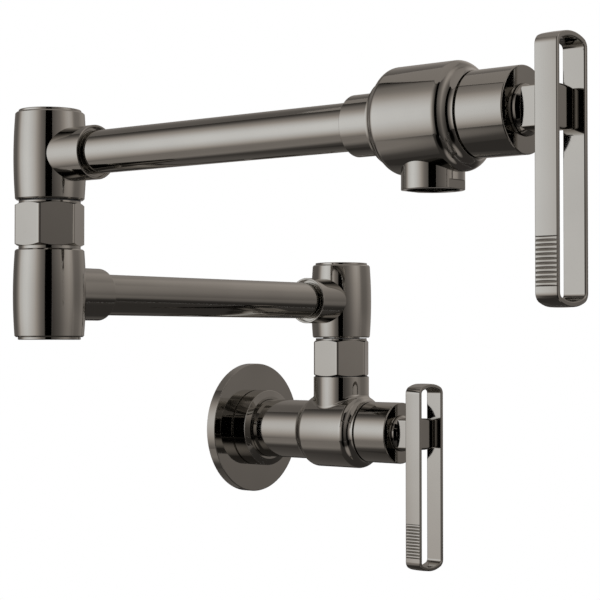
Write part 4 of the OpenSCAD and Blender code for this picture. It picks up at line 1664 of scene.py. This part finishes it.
@dataclass(frozen=True)
class Card:
    """A studio card that only shows in reflections: two rows of points, and the tones of its glow.

    The tones along the rows and from the first row to the second are multiplied.
    """

    name: str
    first: np.ndarray
    second: np.ndarray
    along: Tones
    across: Tones

    @classmethod
    def upright(cls, name: str, plan: np.ndarray, along: Tones, up: Tones) -> Card:
        """A tall card over a line of the floor plan, as high as the tones up it go.

        Args:
            name: The card's name.
            plan: The line.
            along: Tones along the line.
            up: Tones by height.

        Returns:
            The card.
        """
        low, high = (np.column_stack([plan, np.full(len(plan), stop[0])]) for stop in (up[0], up[-1]))
        return cls(name, low, high, along, up)

    @classmethod
    def level(cls, name: str, centre: Triple, radius: float, tones: Tones) -> Card:
        """A round level card.

        Args:
            name: The card's name.
            centre: Its centre.
            radius: Its radius.
            tones: Tones from its middle out to its edge.

        Returns:
            The card.
        """
        rings = [circle(r, 0, 360, 49, centre[:2]) for r in (1.0, radius)]
        inner, outer = (np.column_stack([ring, np.full(len(ring), centre[2])]) for ring in rings)
        return cls(name, inner, outer, EVEN, tones)

    def build(self) -> None:
        """Builds the card, which only mirrors show."""
        count = len(self.first)
        steps = np.linalg.norm(np.diff(self.first, axis=0), axis=1)
        shares = np.concatenate([[0.0], np.cumsum(steps) / steps.sum()])
        verts = np.concatenate([self.first, self.second]) * MM
        mesh = bpy.data.meshes.new(self.name)
        faces = [(i, i + 1, count + i + 1, count + i) for i in range(count - 1)]
        mesh.from_pydata(verts.tolist(), [], faces)
        layer = mesh.uv_layers.new(name="tone")
        for loop in mesh.loops:
            row, place = divmod(loop.vertex_index, count)
            layer.data[loop.index].uv = (shares[place], row)
        mesh.materials.append(self.glow())
        card = put_in(self.name, mesh)
        card.visible_camera = card.visible_diffuse = card.visible_shadow = card.visible_transmission = False

    def glow(self) -> bpy.types.Material:
        """The card's glow, warm where it is dim and white where it is bright.

        Returns:
            The material.
        """
        made = bpy.data.materials.new(self.name + "_glow")
        writer = TreeWriter.afresh(made)
        u, v, _ = writer.split(writer.add("ShaderNodeTexCoord", output="UV"))
        tone = self.ramp(self.along, u) * self.ramp(self.across, v)
        hue = writer.ramp(tone, ((0.5, (1.0, 0.91, 0.84)), (1.0, UNIT)))
        light = writer.add("ShaderNodeEmission", {"Color": hue, "Strength": tone})
        writer.add("ShaderNodeOutputMaterial", {"Surface": light})
        return made

    @staticmethod
    def ramp(stops: Tones, place: Signal) -> Signal:
        """A row of tones, each at most 2, along a place from 0 to 1.

        Args:
            stops: The tones, on any rising scale.
            place: The place.

        Returns:
            The strength there.
        """
        low, high = stops[0][0], stops[-1][0]
        greys = [((spot - low) / (high - low), (tone / 2,) * 3) for spot, tone in stops]
        return place.writer.ramp(place, greys) * 2.0


@dataclass
class Studio:
    """Camera, pale floor, soft light, and the cards that the metal mirrors."""

    eye: Triple = (-743.761, -648.151, 49.247)
    turn: float = -50.593
    pitch: float = 1.332
    lens: float = 103.855
    floor_z: float = -460.0
    floor_r: float = 2400.0
    floor_colour: Triple = (0.88, 0.88, 0.875)
    floor_roughness: float = 0.85
    wall_r: float = 1000.0
    key_r: float = 880.0
    flag: tuple[Pair, ...] = ((-870.0, -494.0), (-749.0, -834.0))
    lamp_place: Triple = (-0.5, -0.6, 1.9)
    lamp_way: Triple = (0.4, 0.45, -1.9)
    lamp_size: float = 1.6
    lamp_power: float = 22.0
    unseen_light: float = 0.55

    def cards(self) -> list[Card]:
        """The upright cards from the camera's left on round, the ceiling, and the pools of tone below.

        Returns:
            The cards.
        """
        top, ground = LEFT_UP[-1][0], self.floor_z + 6
        black: Tones = ((LEFT_UP[0][0], 1.0), (KEY_UP[-1][0], 1.0))
        return [
            Card.upright("left_wall", circle(self.wall_r, 200, 306, 28), LEFT_ROUND, LEFT_UP),
            Card.upright("right_wall", circle(self.wall_r, 306, 590, 72), RIGHT_ROUND, RIGHT_UP),
            Card.upright("key_light", circle(self.key_r, 102, 204, 24), KEY_ROUND, KEY_UP),
            Card.upright("lens_flag", np.array(self.flag), ((0, 0.0), (1, 0.0)), black),
            Card.level("grey_ceiling", (*MIDDLE, top), self.wall_r, ((0.0, 0.38), (1.0, 0.35))),
            Card.level("dark_ground", (*MIDDLE, ground), self.wall_r, ((0, 0.05), (0.7, 0.05), (1, 0.07))),
            Card.level("key_pool", (-560, 440, ground + 2), 460, KEY_POOL),
            Card.level("back_pool", (230, 700, ground + 1), 560, ((0.0, 0.14), (0.6, 0.13), (1.0, 0.07))),
            Card.level("black_pool", (-690, -470, ground + 1), 330, ((0.0, 0.0), (0.75, 0.005), (1.0, 0.05))),
            Card.level("front_pool", (-130, -560, ground + 2), 260, ((0.0, 0.4), (0.5, 0.36), (1.0, 0.06))),
        ]

    def build(self) -> None:
        """Builds the camera, floor, lights and cards."""
        self.camera()
        self.floor()
        self.world()
        self.lamp()
        for card in self.cards():
            card.build()
        bpy.context.scene.view_settings.view_transform = "Standard"

    def camera(self) -> None:
        """Sets the camera at the photograph's viewing angle."""
        data = bpy.data.cameras.new("camera")
        data.lens = self.lens
        data.sensor_width = 36.0
        data.clip_start = 0.01
        camera = put_in("camera", data)
        camera.location = Vector(self.eye) * MM
        camera.rotation_euler = (math.radians(90 + self.pitch), 0.0, math.radians(self.turn))
        bpy.context.scene.camera = camera

    def floor(self) -> None:
        """Builds the plain pale floor."""
        count = 96
        ring = circle(self.floor_r, 0, 360 - 360 / count, count, (0.0, 0.0))
        mesh = bpy.data.meshes.new("floor")
        mesh.from_pydata([(x * MM, y * MM, self.floor_z * MM) for x, y in ring], [], [tuple(range(count))])
        made = bpy.data.materials.new("pale_floor")
        writer = TreeWriter.afresh(made)
        look = {"Base Color": (*self.floor_colour, 1.0), "Roughness": self.floor_roughness}
        writer.add("ShaderNodeOutputMaterial", {"Surface": writer.add("ShaderNodeBsdfPrincipled", look)})
        mesh.materials.append(made)
        put_in("floor", mesh)

    def world(self) -> None:
        """Sets a white background for what the eye and the metal see, and a plain level for the rest."""
        world = bpy.data.worlds.new("studio")
        bpy.context.scene.world = world
        writer = TreeWriter.afresh(world)
        rays = [f"Is {ray} Ray" for ray in ("Camera", "Glossy", "Transmission")]
        camera, glossy, through = (writer.add("ShaderNodeLightPath", output=ray) for ray in rays)
        seen = camera.at_least(glossy).at_least(through)
        strength = self.unseen_light + (1 - self.unseen_light) * seen
        light = writer.add("ShaderNodeBackground", {"Color": (1.0, 1.0, 1.0, 1.0), "Strength": strength})
        writer.add("ShaderNodeOutputWorld", {"Surface": light})

    def lamp(self) -> None:
        """Hangs a large soft lamp over the object, which the metal doesn't mirror."""
        data = bpy.data.lights.new("overhead", "AREA")
        data.shape = "DISK"
        data.size = self.lamp_size
        data.energy = self.lamp_power
        lamp = put_in("overhead", data)
        lamp.location = self.lamp_place
        lamp.rotation_euler = Vector(self.lamp_way).to_track_quat("-Z", "Y").to_euler()
        lamp.visible_glossy = False


# The scene


def dress_inner_pieces(frame: dict[str, Any]) -> None:
    """Gives every CAD node that still shows its slot's finish.
    """
    slots = {part["node"]: part["material_slot"] for part in frame["record"]["subparts"]}
    by_slot = {finish.slot: finish for finish in FINISHES}
    for name, node in frame["nodes"].items():
        if node.hide_render:
            continue
        node.data.materials.clear()
        node.data.materials.append(by_slot[slots[name]].material())
        LOG.info("%s: CAD piece dressed in %s", name, slots[name])


def main() -> None:
    """Builds the object and its studio in order."""
    logging.basicConfig(level=logging.INFO, format="%(name)s: %(message)s")
    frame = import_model()
    PotFiller(Workshop()).build()
    dress_inner_pieces(frame)
    Studio().build()
    bpy.context.view_layer.update()


if __name__ == "__main__":
    main()
